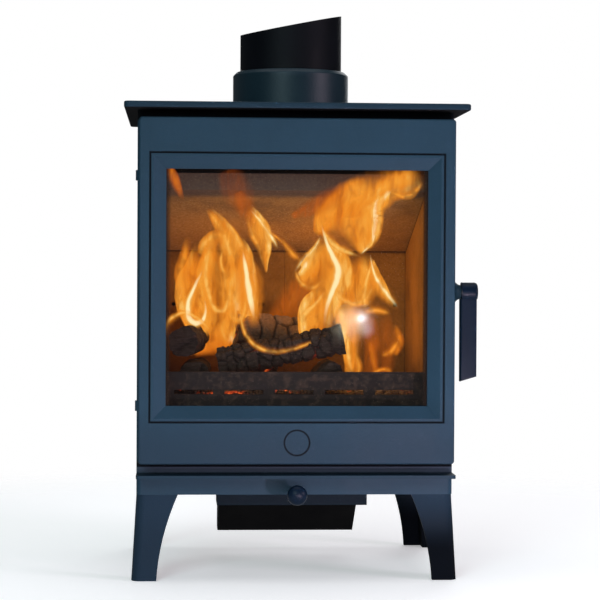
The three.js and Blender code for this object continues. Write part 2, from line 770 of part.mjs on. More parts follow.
function makeLogs() {
  const lengthwise = new THREE.Vector3(1, 0, 0);
  fireLogs.forEach(({ name, girth, lumps, from, to }, i) => {
    const start = inFirebox(from);
    const end = inFirebox(to);
    const log = splitLog(start.distanceTo(end), girth * logRadius, lumps, 1.1 * i);
    const mesh = addPiece(body, name, log, charredWood);
    mesh.position.copy(start).lerp(end, 0.5);
    mesh.quaternion.setFromUnitVectors(lengthwise, end.clone().sub(start).normalize());
  });
}

// ---------- Air supply ----------

function makeAirDuct() {
  const half = ductWidth / 2;
  const shell = slabAcross(half, [ductFront, ductBack], [ductBottom, skirtTop]);
  const hollow = slabAcross(half - ductWall, [ductFront + ductWall, ductBack + past],
    [ductBottom + ductWall, skirtTop + past]);
  const rodHole = cylinder(alongY, rodRadius + rodClearance, ductFront - past, ductFront + ductWall + past)
    .translate(0, 0, rodHeight);
  addPiece(body, 'air_duct', cut(shell, hollow, rodHole), stovePaint);
}

function inletProfile(inset) {
  const slope = (inletShoulder - inletBottom) / inletSlopeLength;
  const lift = inset * Math.hypot(1, slope);
  const front = ductBack + inset;
  const bottom = inletBottom + inset;
  return polygon([
    [front, skirtTop - inset], [front, inletShoulder - slope * inset + lift],
    [ductBack + (inletShoulder + lift - bottom) / slope, bottom],
    [inletBack - inset, bottom], [inletBack - inset, skirtTop - inset]]);
}

function makeAirInlet() {
  const shell = extrudeAcross(inletProfile(0), -inletHalf, inletHalf);
  const hollow = extrudeAcross(inletProfile(ductWall), -inletHalf + ductWall, inletHalf - ductWall);
  const mouth = slabAcross(inletHalf - inletMouthInset, [ductBack - past, ductBack + ductWall * 2],
    [skirtTop - ductWall - inletMouthHeight, skirtTop - ductWall]);
  const spigotHole = cylinder(alongY, spigotRadius - spigotWall, inletBack - 2 * ductWall, inletBack + past)
    .translate(0, 0, spigotHeight);
  addPiece(body, 'air_inlet', cut(shell, hollow, mouth, spigotHole), blackSteel);

  const outer = spigotRadius;
  const inner = spigotRadius - spigotWall;
  const spigot = revolve([[inner, 0], [outer, 0], [outer, spigotLength], [inner, spigotLength], [inner, 0]], 40);
  addPiece(body, 'air_spigot', spigot, blackSteel).position.set(0, inletBack, spigotHeight);
}

function makeAirControl() {
  const knobShape = [
    [0, 0], [0.45, 0.04], [0.8, 0.17], [0.97, 0.37], [1, 0.57], [0.9, 0.8], [0.55, 1], [0, 1]];
  const knob = revolve(knobShape.map(([across, along]) => [across * knobRadius, along * knobDepth]));
  addPiece(airControl, 'air_knob', knob, handlePaint).position.set(0, knobFront, rodHeight);

  const rod = cylinder(alongY, rodRadius, knobFront + knobDepth, damperFront, 20).translate(0, 0, rodHeight);
  addPiece(airControl, 'air_rod', rod, plainSteel);

  const plate = slabAcross(ductWidth / 2 - ductWall - damperEdgeGap,
    [damperFront, damperFront + damperThickness],
    [ductBottom + ductWall + damperEdgeGap, skirtTop - damperEdgeGap]);
  addPiece(airControl, 'air_damper', plate, blackSteel);
}

// ---------- Door ----------

function windowPrism(margin, yLow, yHigh) {
  return slabAcross(windowHalf + margin, [yLow, yHigh], [windowBottom - margin, windowTop + margin]);
}

// The sloping reveal round the window, widest at the door's face.
function windowBevel() {
  const spread = bevelWidth * (1 + past / bevelDepth);
  const frontHalf = windowHalf + spread;
  const corners = (half, low, high) => [[-half, low], [half, low], [half, high], [-half, high]];
  const bevel = loftUp([
    { z: -bevelDepth, points: corners(windowHalf, windowBottom, windowTop) },
    { z: past, points: corners(frontHalf, windowBottom - spread, windowTop + spread) }]);
  return bevel.rotateX(Math.PI / 2);
}

function knuckleBlocks() {
  return Object.values(hingeHeights).map((z) => {
    const reach = hingeLugHeight / 2 + hingeGap + knuckleHeight;
    return boxBetween([-doorHalf + past, doorSkin - past, z - reach], [knuckleInner, knuckleBack, z + reach]);
  });
}

function backPocket() {
  const outer = { half: doorHalf - doorSideRim, low: doorBottom + doorSideRim, high: doorTop - doorSideRim };
  const lap = sealWidth / 2 + sealWall;
  const ring = polygon([[-outer.half, outer.low], [outer.half, outer.low], [outer.half, outer.high],
    [-outer.half, outer.high]]);
  const inner = { half: sealHalf + lap, low: sealBottom - lap, high: sealTop + lap };
  ring.holes.push(new THREE.Path([
    new THREE.Vector2(-inner.half, inner.low), new THREE.Vector2(-inner.half, inner.high),
    new THREE.Vector2(inner.half, inner.high), new THREE.Vector2(inner.half, inner.low)]));
  return cut(extrudeBack(ring, doorSkin, doorBack + past), ...knuckleBlocks());
}

function retainerRecess(zLow, zHigh) {
  return slabAcross(retainerLength / 2 + retainerGap, [glassBack, doorBack + past], [zLow, zHigh]);
}

function makeDoorCasting() {
  const edge = doorEdgeRadius;
  const outline = roundedRectangle([-doorHalf + edge, doorHalf - edge], [doorBottom + edge, doorTop - edge],
    Math.max(doorCornerRadius - edge, 0.5));
  const blank = cut(
    extrudeBack(outline, edge, doorBack + edge, {
      bevelEnabled: true, bevelSize: edge, bevelThickness: edge, bevelSegments: 3, curveSegments: 5 }),
    slabAcross(doorHalf + past, [doorBack, doorBack + 3 * edge], [doorBottom - past, doorTop + past]));

  const glassMargin = glassOverlap + glassSideClearance;
  const window = windowPrism(0, -past, doorBack + past);
  const glassPocket = windowPrism(glassMargin, glassSeatDepth, doorBack + past);
  const grooveOuter = grooveOffset + grooveWidth / 2;
  const groove = extrudeBack(rectangularRing(windowHalf + grooveOuter, windowBottom - grooveOuter,
    windowTop + grooveOuter, grooveWidth), -past, grooveDepth);
  const sealHalfWidth = sealWidth / 2;
  const channel = extrudeBack(rectangularRing(sealHalf + sealHalfWidth, sealBottom - sealHalfWidth,
    sealTop + sealHalfWidth, sealWidth), sealFront, doorBack + past);
  const roundel = cylinder(alongY, roundelDiameter / 2, -past, roundelDepth, roundFacets)
    .translate(0, 0, doorBottom + roundelRise);
  const recesses = [
    retainerRecess(windowTop, sealTop - sealHalfWidth - sealWall),
    retainerRecess(sealBottom + sealHalfWidth + sealWall, windowBottom)];

  const hingeCuts = Object.values(hingeHeights).flatMap((z) => {
    const half = hingeLugHeight / 2 + hingeGap;
    const notch = boxBetween([-doorHalf - past, hingeY - hingeLugRadius - hingeGap, z - half],
      [knuckleInner, doorBack + past, z + half]);
    const bore = cylinder(alongZ, hingePinRadius + pinClearance, z - half - knuckleHeight + pinFloor,
      z + half + knuckleHeight + past).translate(hingeX, hingeY, 0);
    return [notch, bore];
  });

  const spindleBore = cylinder(alongX, spindleRadius + pinClearance, hookX, doorHalf + past)
    .translate(0, spindleY, spindleZ);
  const tailBore = cylinder(alongX, spindleTailRadius + pinClearance, pocketInner - spindleTail, pocketInner + past)
    .translate(0, spindleY, spindleZ);
  const screwBores = screwPlaces().map(([x, z]) =>
    cylinder(alongY, screwRadius + pinClearance, glassBack - screwDepth, glassBack + past, screwFacets).translate(x, 0, z));

  const casting = cut(blank, window, windowBevel(), glassPocket, groove, channel, roundel, ...recesses,
    backPocket(), ...hingeCuts, spindleBore, tailBore, ...screwBores);
  addPiece(door, 'door_casting', casting, stovePaint);
}

function retainerSpan(side) {
  const glassEdge = side > 0 ? windowTop + glassOverlap : windowBottom - glassOverlap;
  const inner = glassEdge - side * retainerGrip;
  return [inner, inner + side * retainerHeight].sort((a, b) => a - b);
}

function screwPlaces() {
  return [-1, 1].flatMap((side) => {
    const [low, high] = retainerSpan(side);
    const z = side > 0 ? high - screwInset : low + screwInset;
    return [-1, 1].map((end) => [end * screwSpread, z]);
  });
}

function makeGlazing() {
  const half = windowHalf + glassOverlap;
  const low = windowBottom - glassOverlap;
  const high = windowTop + glassOverlap;
  addPiece(door, 'glass_gasket',
    extrudeBack(rectangularRing(half, low, high, gasketWidth), glassSeatDepth, glassFront), ropeSeal);
  addPiece(door, 'door_glass', slabAcross(half, [glassFront, glassBack], [low, high]), stoveGlass);

  for (const [name, side] of [['glass_retainer_top', 1], ['glass_retainer_bottom', -1]]) {
    const strip = slabAcross(retainerLength / 2, [glassBack, glassBack + retainerThickness], retainerSpan(side));
    const holes = screwPlaces().map(([x, z]) =>
      cylinder(alongY, screwRadius + pinClearance, glassBack - past, glassBack + retainerThickness + past, screwFacets)
        .translate(x, 0, z));
    addPiece(door, name, cut(strip, ...holes), plainSteel);
  }
  screwPlaces().forEach(([x, z], i) => {
    const head = screwHeadHeight + retainerThickness;
    const screw = revolve([
      [0, -screwDepth], [screwRadius, -screwDepth], [screwRadius, retainerThickness],
      [screwHeadRadius, retainerThickness], [screwHeadRadius, head - screwHeadCrown],
      [screwHeadRadius - screwHeadChamfer, head], [0, head]], screwFacets);
    addPiece(door, `retainer_screw_${i + 1}`, screw, plainSteel).position.set(x, glassBack, z);
  });
}

function makeDoorSeal() {
  const halfWidth = sealWidth / 2 - sealRound;
  const ring = rectangularRing(sealHalf + halfWidth, sealBottom - halfWidth, sealTop + halfWidth, 2 * halfWidth);
  addPiece(door, 'door_seal', extrudeBack(ring, sealFront + sealRound, bodyFront - sealRound, {
    bevelEnabled: true, bevelSize: sealRound, bevelThickness: sealRound, bevelSegments: 3,
  }), ropeSeal);
}

// ---------- Hinges ----------

function makeHinges() {
  for (const [level, z] of Object.entries(hingeHeights)) {
    const plan = new THREE.Shape();
    plan.moveTo(hingeX + lugArmRight, bodyFront);
    plan.lineTo(hingeX - lugArmLeft, bodyFront);
    plan.lineTo(hingeX - lugArmLeft, hingeY + Math.sqrt(hingeLugRadius ** 2 - lugArmLeft ** 2));
    plan.absarc(hingeX, hingeY, hingeLugRadius, Math.PI - Math.acos(lugArmLeft / hingeLugRadius),
      2 * Math.PI + Math.acos(lugArmRight / hingeLugRadius));
    const lug = extrudeUp(plan, z - hingeLugHeight / 2, z + hingeLugHeight / 2, { curveSegments: 20 });
    const bore = cylinder(alongZ, hingePinRadius + pinClearance, z - hingeLugHeight, z + hingeLugHeight)
      .translate(hingeX, hingeY, 0);
    addPiece(body, `hinge_lug_${level}`, cut(lug, bore), stovePaint);

    const reach = hingeLugHeight / 2 + hingeGap + knuckleHeight;
    const pin = cylinder(alongZ, hingePinRadius, z - reach + pinFloor, z + reach - pinTopGap)
      .translate(hingeX, hingeY, 0);
    addPiece(body, `hinge_pin_${level}`, pin, plainSteel);
  }
}

// ---------- Handle and latch ----------

function makeBush() {
  const bore = spindleRadius + pinClearance;
  const flareSteps = 5;
  const flare = Array.from({ length: flareSteps + 1 }, (_, i) => {
    const run = i / flareSteps;
    return [bushInnerRadius + (bushOuterRadius - bushInnerRadius) * (1 - run) ** 2, run * bushLength];
  });
  const bush = revolve([[bore, 0], ...flare, [bore, bushLength], [bore, 0]]);
  addPiece(door, 'handle_bush', alongX(bush), stovePaint).position.set(doorHalf, spindleY, spindleZ);
}

function makeHandle() {
  const tailStart = pocketInner - spindleTail;
  const shoulder = pocketInner + shoulderGap;
  const end = hubStart + spindleSink;
  const spindle = revolve([
    [0, tailStart], [spindleTailRadius, tailStart], [spindleTailRadius, shoulder], [spindleRadius, shoulder],
    [spindleRadius, end], [0, end]]);
  addPiece(handle, 'handle_spindle', alongX(spindle), plainSteel).position.set(0, spindleY, spindleZ);

  const hubBlank = alongX(revolve([
    [0, 0], [hubRadius, 0], ...roundedStep(hubRadius, hubLength, hubEndRadius), [0, hubLength]]));
  const socket = cylinder(alongX, spindleRadius + pinClearance, -past, spindleSink);
  const flat = boxBetween([-past, -hubRadius, -2 * hubRadius], [hubLength + past, hubRadius, -hubFlatDrop]);
  addPiece(handle, 'handle_hub', cut(hubBlank, socket, flat), handlePaint)
    .position.set(hubStart, spindleY, spindleZ);

  const left = hubStart - gripInset;
  const edge = gripEdgeRadius;
  const outline = polygon([
    [left + edge, hubFlat - gripLength + edge], [left + gripWidth - edge, hubFlat - gripLength + gripSlant + edge],
    [left + gripWidth - edge, hubFlat + 2 * edge], [left + edge, hubFlat + 2 * edge]]);
  const gripHalf = gripDepth / 2;
  const blank = extrudeBack(outline, spindleY - gripHalf + edge, spindleY + gripHalf - edge, {
    bevelEnabled: true, bevelSize: edge, bevelThickness: edge, bevelSegments: 3 });
  const trim = boxBetween([left - past, spindleY - gripDepth, hubFlat],
    [left + gripWidth + past, spindleY + gripDepth, hubFlat + 4 * edge]);
  addPiece(handle, 'handle_grip', cut(blank, trim), handlePaint);
}

// The hook passes under the strike plate's upper edge and turns up behind it.
function makeLatchHook() {
  const tipInner = hookReach - hookTipThickness;
  const arm = polygon([
    [0, hookArmBottom], [hookReach, hookArmBottom], [hookReach, hookTipRise], [tipInner, hookTipRise],
    [tipInner, hookArmTop], [0, hookArmTop]]);
  const half = hookThickness / 2;
  const hook = cut(
    join(extrudeAcross(arm, -half, half), cylinder(alongX, hookHubRadius, -half, half)),
    cylinder(alongX, spindleRadius + pinClearance, -hookThickness, hookThickness));
  addPiece(handle, 'latch_hook', hook, plainSteel).position.set(hookX, spindleY, spindleZ);
}

// ---------- Assembly ----------

makeBasePlate();
makeSkirt();
makeLegs();
makeShell();
makeFrontFrame();
makeTopPlate();
makeFlue();
makeFireboxFloor();
makeBricks();
makeBaffle();
makeAirRiser();
makeAirwashDeflector();
makeLogGuard();
makeEmberBed();
makeLogs();
makeAirDuct();
makeAirInlet();
makeAirControl();
makeDoorCasting();
makeGlazing();
makeDoorSeal();
makeHinges();
makeBush();
makeHandle();
makeLatchHook();

// The origin is on the floor, under the middle of everything from plate to handle and knob.
group.position.set((topPlateWidth / 2 - hubEnd) / 2, -(topPlateDepth + knobFront) / 2, 0);

export default group;
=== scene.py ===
import json
import math

import bmesh
import bpy
import numpy as np
from mathutils import Matrix, Vector, noise


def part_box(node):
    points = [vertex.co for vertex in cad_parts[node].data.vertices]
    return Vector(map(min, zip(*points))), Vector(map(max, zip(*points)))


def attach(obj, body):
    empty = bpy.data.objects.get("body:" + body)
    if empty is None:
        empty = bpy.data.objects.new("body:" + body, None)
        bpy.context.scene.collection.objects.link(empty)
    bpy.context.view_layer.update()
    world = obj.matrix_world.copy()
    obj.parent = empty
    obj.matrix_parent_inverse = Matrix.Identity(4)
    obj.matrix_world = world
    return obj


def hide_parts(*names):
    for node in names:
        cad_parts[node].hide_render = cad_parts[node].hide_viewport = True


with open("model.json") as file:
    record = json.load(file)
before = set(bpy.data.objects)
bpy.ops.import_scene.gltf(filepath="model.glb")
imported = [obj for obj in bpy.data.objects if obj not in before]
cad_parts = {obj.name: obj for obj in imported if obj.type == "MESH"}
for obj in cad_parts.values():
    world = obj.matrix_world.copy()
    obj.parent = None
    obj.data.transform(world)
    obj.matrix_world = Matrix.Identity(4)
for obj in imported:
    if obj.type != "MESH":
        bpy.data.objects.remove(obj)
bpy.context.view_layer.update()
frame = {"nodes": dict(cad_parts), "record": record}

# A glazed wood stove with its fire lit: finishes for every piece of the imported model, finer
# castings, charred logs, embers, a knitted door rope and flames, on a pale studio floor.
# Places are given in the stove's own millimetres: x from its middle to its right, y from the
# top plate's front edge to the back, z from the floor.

SCENE = bpy.context.scene
MM = 0.001
plate_low, plate_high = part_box("top_plate")
MIDDLE = (plate_low.x + plate_high.x) / 2
FRONT = plate_low.y


def at(x, y, z):
    """A place in the stove's own millimetres, as a point of the frame in metres."""
    return Vector((MIDDLE + x * MM, FRONT + y * MM, z * MM))


def span(node):
    """A node's lowest and highest corners in the stove's own millimetres."""
    low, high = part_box(node)
    shift = Vector((MIDDLE, FRONT, 0))
    return (low - shift) / MM, (high - shift) / MM


BODY_OF = {
    node: body
    for body, nodes in frame["record"]["behaviour"]["bodies"].items()
    for node in nodes
}


def put(name, data):
    """Adds an object to the scene."""
    thing = bpy.data.objects.new(name, data)
    SCENE.collection.objects.link(thing)
    return thing


# ----- Camera -----

CAMERA_PLACE = (-143.5, -2361.0, 378.0)
CAMERA_YAW, CAMERA_PITCH, CAMERA_ROLL = 3.543, -1.013, 0.3
LENS = 120.5


def add_camera():
    data = bpy.data.cameras.new("camera")
    data.lens = LENS
    data.sensor_width = 36
    data.clip_start = 0.05
    camera = put("camera", data)
    turn = (
        Matrix.Rotation(math.radians(-CAMERA_YAW), 4, "Z")
        @ Matrix.Rotation(math.radians(90 + CAMERA_PITCH), 4, "X")
        @ Matrix.Rotation(math.radians(CAMERA_ROLL), 4, "Z")
    )
    camera.matrix_world = Matrix.Translation(at(*CAMERA_PLACE)) @ turn
    SCENE.camera = camera


# ----- Finishes -----

SIDEWAYS, DEPTH, HEIGHT = 0, 1, 2
# Sockets of the Mix node by place, since several share a name
MIX_SHARE, MIX_FIRST, MIX_SECOND, MIX_COLOUR = 0, 6, 7, 2


class Socket:
    """A node's output. Arithmetic on it adds a Math node to the same finish."""

    def __init__(self, finish, output):
        self.finish = finish
        self.output = output

    def _math(self, operation, *inputs):
        return self.finish.add("ShaderNodeMath", {"operation": operation}, dict(enumerate(inputs)))

    def __add__(self, other):
        return self._math("ADD", self, other)

    __radd__ = __add__

    def __sub__(self, other):
        return self._math("SUBTRACT", self, other)

    def __rsub__(self, other):
        return self._math("SUBTRACT", other, self)

    def __mul__(self, other):
        return self._math("MULTIPLY", self, other)

    __rmul__ = __mul__

    def __pow__(self, other):
        return self._math("POWER", self, other)

    def __abs__(self):
        return self._math("ABSOLUTE", self)

    def least(self, other):
        return self._math("MINIMUM", self, other)

    def most(self, other):
        return self._math("MAXIMUM", self, other)

    def ramp(self, low, high, start=0.0, end=1.0):
        """Smoothly from start to end as the value goes from low to high."""
        settings = {"interpolation_type": "SMOOTHSTEP"}
        inputs = {
            "Value": self, "From Min": low, "From Max": high, "To Min": start, "To Max": end}
        return self.finish.add("ShaderNodeMapRange", settings, inputs)


class Finish:
    """A material, built from nodes that are fed by values, colours or Sockets."""

    def __init__(self, name):
        self.material = bpy.data.materials.new(name)
        self.material.use_nodes = True
        self.tree = self.material.node_tree
        self.tree.nodes.clear()

    def add(self, kind, settings=None, inputs=None, output=0):
        """A new node: its settings first, then the values and links of its inputs."""
        node = self.tree.nodes.new(kind)
        for key, value in (settings or {}).items():
            if key == "stops":
                self.set_stops(node.color_ramp, value)
            else:
                setattr(node, key, value)
        for key, value in (inputs or {}).items():
            socket = node.inputs[key]
            if isinstance(value, Socket):
                self.tree.links.new(value.output, socket)
            elif socket.type == "RGBA":
                socket.default_value = (*value, 1)
            else:
                socket.default_value = value
        return Socket(self, node.outputs[output]) if len(node.outputs) else None

    @staticmethod
    def set_stops(ramp, stops):
        while len(ramp.elements) < len(stops):
            ramp.elements.new(1)
        for element, (place, colour) in zip(ramp.elements, stops):
            element.position = place
            element.color = (*colour, 1)

    def here(self, stretch=(1, 1, 1)):
        """Where the surface point is on the resting object, in metres."""
        here = self.add("ShaderNodeTexCoord", output="Object")
        if stretch == (1, 1, 1):
            return here
        settings = {"operation": "MULTIPLY"}
        return self.add("ShaderNodeVectorMath", settings, {0: here, 1: stretch})

    def axis(self, vector, index):
        """The x, y or z of a vector."""
        return self.add("ShaderNodeSeparateXYZ", None, {0: vector}, output=index)

    def noise(self, per_metre, detail=2, roughness=0.5, vector=None, distortion=0.0):
        """Soft random spots, about 0 to 1."""
        return self.add("ShaderNodeTexNoise", None, {
            "Vector": vector or self.here(),
            "Scale": per_metre,
            "Detail": detail,
            "Roughness": roughness,
            "Distortion": distortion,
        })

    def cells(self, per_metre):
        """0 in the middle of each flake, and more towards its edge."""
        return self.add(
            "ShaderNodeTexVoronoi", None, {"Vector": self.here(), "Scale": per_metre})

    def measure(self, name):
        """A number that the mesh carries at each point."""
        return self.add("ShaderNodeAttribute", {"attribute_name": name}, output="Fac")

    def blend(self, share, first, second):
        """From the first colour at share 0 to the second at share 1."""
        inputs = {MIX_SHARE: share, MIX_FIRST: first, MIX_SECOND: second}
        return self.add("ShaderNodeMix", {"data_type": "RGBA"}, inputs, MIX_COLOUR)

    def colours(self, share, stops):
        """The colour between stops, each a place from 0 to 1 and its colour."""
        return self.add("ShaderNodeValToRGB", {"stops": stops}, {0: share})

    def bump(self, height, distance_mm, strength, under=None):
        """The surface's normal, tilted by a height; under is a coarser one below it."""
        inputs = {"Height": height, "Distance": distance_mm * MM, "Strength": strength}
        if under:
            inputs["Normal"] = under
        return self.add("ShaderNodeBump", None, inputs)

    def place(self, index):
        """One coordinate of the surface point on the resting stove, in its own millimetres."""
        return (self.axis(self.here(), index) - (MIDDLE, FRONT, 0)[index]) * (1 / MM)

    def from_middle(self):
        """How far the surface point is from the object's own z axis, in metres."""
        here = self.here()
        return (self.axis(here, 0) ** 2 + self.axis(here, 1) ** 2) ** 0.5

    def done(self, sampled="AUTO", **inputs):
        """Ends the material with its shader, whose inputs are named with _ for a space.

        sampled is "NONE" where the glow is too dim to light other pieces.
        """
        named = {key.replace("_", " "): value for key, value in inputs.items()}
        shader = self.add("ShaderNodeBsdfPrincipled", None, named)
        self.add("ShaderNodeOutputMaterial", None, {"Surface": shader})
        self.material.cycles.emission_sampling = sampled
        return self.material


CAST_DEEP, CAST_PALE = (0.0078, 0.0290, 0.0480), (0.0098, 0.0340, 0.0560)
# Near-black that painted shade darkens the cast paint towards
PAINTED_SHADE_COLOUR = (0.0008, 0.0012, 0.0020)
DUST = (0.09, 0.13, 0.17)


def sand_cast(paint, shine, roughness=0.54, deep=CAST_DEEP, pale=CAST_PALE, dark=None, painted_lighting=None):
    """Matt heat-resistant paint over fine sand-cast iron.

    dark says how much painted shade darkens it; the last argument is how much a painted tint of
    light or shade covers it, and the tint's colour.
    """
    patch = paint.noise(9, detail=4, roughness=0.6).ramp(0.3, 0.7)
    sand = paint.noise(1400)
    orange_peel = paint.noise(420)
    dust = paint.noise(2600, detail=1).ramp(0.62, 0.8)
    tone = paint.blend(patch, deep, pale)
    tone = paint.blend(dust * 0.10, tone, DUST)
    rough = roughness + patch * 0.08 + sand * 0.06
    # Painted light or shade: a tint laid over the paint
    if painted_lighting:
        share, colour = painted_lighting
        tone = paint.blend(share, tone, colour)
    # Painted shade: the paint darkened towards near-black where shade falls
    if dark:
        tone = paint.blend(dark, tone, PAINTED_SHADE_COLOUR)
        rough = rough.most(dark)
    grain = paint.bump(orange_peel, 0.25, 0.5)
    return paint.done(
        Base_Color=tone,
        Roughness=rough,
        Specular_IOR_Level=shine,
        Normal=paint.bump(sand, 0.12, 0.6, under=grain),
    )


WINDOW_HALF = 155
WINDOW_BOTTOM, WINDOW_TOP = 210.5, 490
GROOVE_OFFSET = 18.8
ROUNDEL_RADIUS, ROUNDEL_HEIGHT = 15.5, 167.5
DOOR_LOW, DOOR_HIGH = 142, 550.5
STRIP_TOP = DOOR_LOW - 6.2


def door_paint():
    """Painted shade in the groove round the window and in the roundel's rim, and painted shade
    darkening the lower rail.
    """
    paint = Finish("door_paint")
    sideways, height = paint.place(SIDEWAYS), paint.place(HEIGHT)
    beside = abs(sideways) - WINDOW_HALF
    above = abs(height - (WINDOW_BOTTOM + WINDOW_TOP) / 2) - (WINDOW_TOP - WINDOW_BOTTOM) / 2
    # Painted shade in the groove round the window and, below, in the roundel's rim
    groove = abs(beside.most(above) - GROOVE_OFFSET).ramp(0.8, 1.6, 0.9, 0.0)
    away = (sideways ** 2 + (height - ROUNDEL_HEIGHT) ** 2) ** 0.5
    inner = away.ramp(ROUNDEL_RADIUS - 2.3, ROUNDEL_RADIUS - 1.2)
    outer = away.ramp(ROUNDEL_RADIUS - 0.1, ROUNDEL_RADIUS + 1.1, 1.0, 0.0)
    # Painted shade low down: the lower rail darkened and tinted, standing in for light falling off
    # there
    low_down = height.ramp(DOOR_LOW + 10, DOOR_LOW + 80, 0.45, 0.0)
    recess_shade = groove.most(inner * outer * 0.86)
    return sand_cast(paint, shine=0.15, dark=recess_shade, painted_lighting=(low_down, (0.0062, 0.0130, 0.0240)))


def frame_paint():
    """The frame behind the door: painted shade along the door's top and bottom edges, and painted
    light on the strip below it.
    """
    paint = Finish("frame_paint")
    height = paint.place(HEIGHT)
    over_strip = height.ramp(STRIP_TOP - 0.6, STRIP_TOP + 0.6)
    # Painted shade: the door's shadow on the upper part of the strip under it
    below = over_strip * height.ramp(DOOR_LOW, DOOR_LOW + 4, 1.0, 0.0)
    # Painted shade above the door, under the top plate
    above = height.ramp(DOOR_HIGH - 4, DOOR_HIGH)
    # Painted light: the lower part of the strip lightened, as if more light reached it
    ash = over_strip.ramp(0.0, 1.0, 0.55, 0.0)
    soot_and_shade = below.most(above) * 0.96
    return sand_cast(paint, shine=0.12, dark=soot_and_shade, painted_lighting=(ash, (0.045, 0.053, 0.074)))


def collar_paint():
    """The flue collar, smoothed by the heat that passes through it."""
    deep, pale = (0.0045, 0.0165, 0.0255), (0.0060, 0.0205, 0.0310)
    return sand_cast(Finish("collar_paint"), shine=0.22, roughness=0.34, deep=deep, pale=pale)


def leg_paint():
    """The legs, darkened by painted shade towards the foot, most of all at the right."""
    paint = Finish("leg_paint")
    # Painted shade: darker towards the foot, more so towards the right
    low_down = paint.place(HEIGHT).ramp(35, 115, 1.0, 0.0)
    rightwards = paint.place(SIDEWAYS).ramp(-50, 120, 0.15, 0.95)
    deep, pale = (0.0086, 0.0200, 0.0335), (0.0104, 0.0235, 0.0395)
    return sand_cast(paint, shine=0.06, deep=deep, pale=pale, dark=low_down * rightwards)


PANEL_DEEP, PANEL_PALE = (0.0074, 0.0262, 0.0440), (0.0090, 0.0305, 0.0510)
# Near-black of the painted shade on undersides
UNDERSIDE_SHADE = (0.0006, 0.0006, 0.0010)


def panel_paint(name="panel_paint", depth=1.0, shine=0.15):
    """Paint on flat plate, without sand grain; painted shade darkens its undersides to near-black.
    """
    paint = Finish(name)
    patch = paint.noise(7, detail=4, roughness=0.6)
    texture = paint.noise(1100)
    deep, pale = (tuple(part * depth for part in colour) for colour in (PANEL_DEEP, PANEL_PALE))
    tone = paint.blend(patch.ramp(0.3, 0.7), deep, pale)
    # Painted shade: faces that look down are darkened to near-black
    upwards = paint.axis(paint.add("ShaderNodeNewGeometry", output="Normal"), HEIGHT)
    underside = upwards.ramp(-0.9, -0.3, 1.0, 0.0)
    tone = paint.blend(underside, tone, UNDERSIDE_SHADE)
    return paint.done(
        Base_Color=tone,
        Roughness=patch.ramp(0.2, 0.8, 0.50, 0.60).most(underside),
        Specular_IOR_Level=shine,
        Normal=paint.bump(texture, 0.1, 0.5),
    )


PIPE_DEEP, PIPE_PALE = (0.0007, 0.0012, 0.0026), (0.0018, 0.0027, 0.0050)
# Painted shade: the air inlet's black, darker than the pipe's, stands in for the shade under the
# stove
INLET_SHADED_DEEP, INLET_SHADED_PALE = (0.0002, 0.0002, 0.0004), (0.0005, 0.0006, 0.0010)


def black_steel(name="black_steel", shine=0.10, deep=PIPE_DEEP, pale=PIPE_PALE):
    """Black stove-pipe paint on rolled sheet, with a faint heat bloom."""
    paint = Finish(name)
    bloom = paint.noise(14, detail=5, roughness=0.65)
    texture = paint.noise(1600)
    tone = paint.blend(bloom.ramp(0.35, 0.75), deep, pale)
    return paint.done(
        Base_Color=tone,
        Roughness=bloom.ramp(0.2, 0.8, 0.5, 0.66),
        Specular_IOR_Level=shine,
        Normal=paint.bump(texture, 0.08, 0.5),
    )


def handle_paint():
    """Satin blue-black paint, a little polished where a hand rubs it."""
    paint = Finish("handle_paint")
    rub = paint.noise(35, detail=3)
    texture = paint.noise(1300)
    tone = paint.blend(rub.ramp(0.3, 0.7), (0.0012, 0.0052, 0.0125), (0.0022, 0.0070, 0.0160))
    return paint.done(
        Base_Color=tone,
        Roughness=rub.ramp(0.2, 0.8, 0.26, 0.34),
        Specular_IOR_Level=0.08,
        Normal=paint.bump(texture, 0.08, 0.4),
    )


def plain_steel():
    """Cut and turned steel with machining lines and straw-to-blue heat tint."""
    steel = Finish("plain_steel")
    lines = steel.noise(1, vector=steel.here((300, 300, 4200)))
    heat = steel.noise(28, detail=4, roughness=0.6)
    tone = steel.colours(heat, [
        (0.3, (0.42, 0.42, 0.43)),
        (0.48, (0.44, 0.36, 0.24)),
        (0.6, (0.30, 0.20, 0.22)),
        (0.72, (0.20, 0.23, 0.32)),
    ])
    return steel.done(
        Base_Color=tone,
        Metallic=1.0,
        Roughness=lines.ramp(0.3, 0.7, 0.28, 0.44),
        Normal=steel.bump(lines, 0.05, 0.5),
    )


BAFFLE_LOW, BAFFLE_HIGH = span("baffle")
REAR_BRICK_FACE = span("rear_brick_left")[0].y
BAFFLE_THICK = 20
BAFFLE_SLOPE = (BAFFLE_HIGH.z - BAFFLE_THICK - BAFFLE_LOW.z) / (BAFFLE_HIGH.y - BAFFLE_LOW.y)
FLAKES_PER_METRE = 340
SPECKS_PER_METRE = 900
# Brown of the soot clouds, and of the painted shade by the door and under the baffle
BROWN_SOOT_AND_SHADE = (0.026, 0.015, 0.009)
# Red-orange of the painted firelight on the rear bricks
FIRELIT_BRICK = (0.105, 0.036, 0.004)


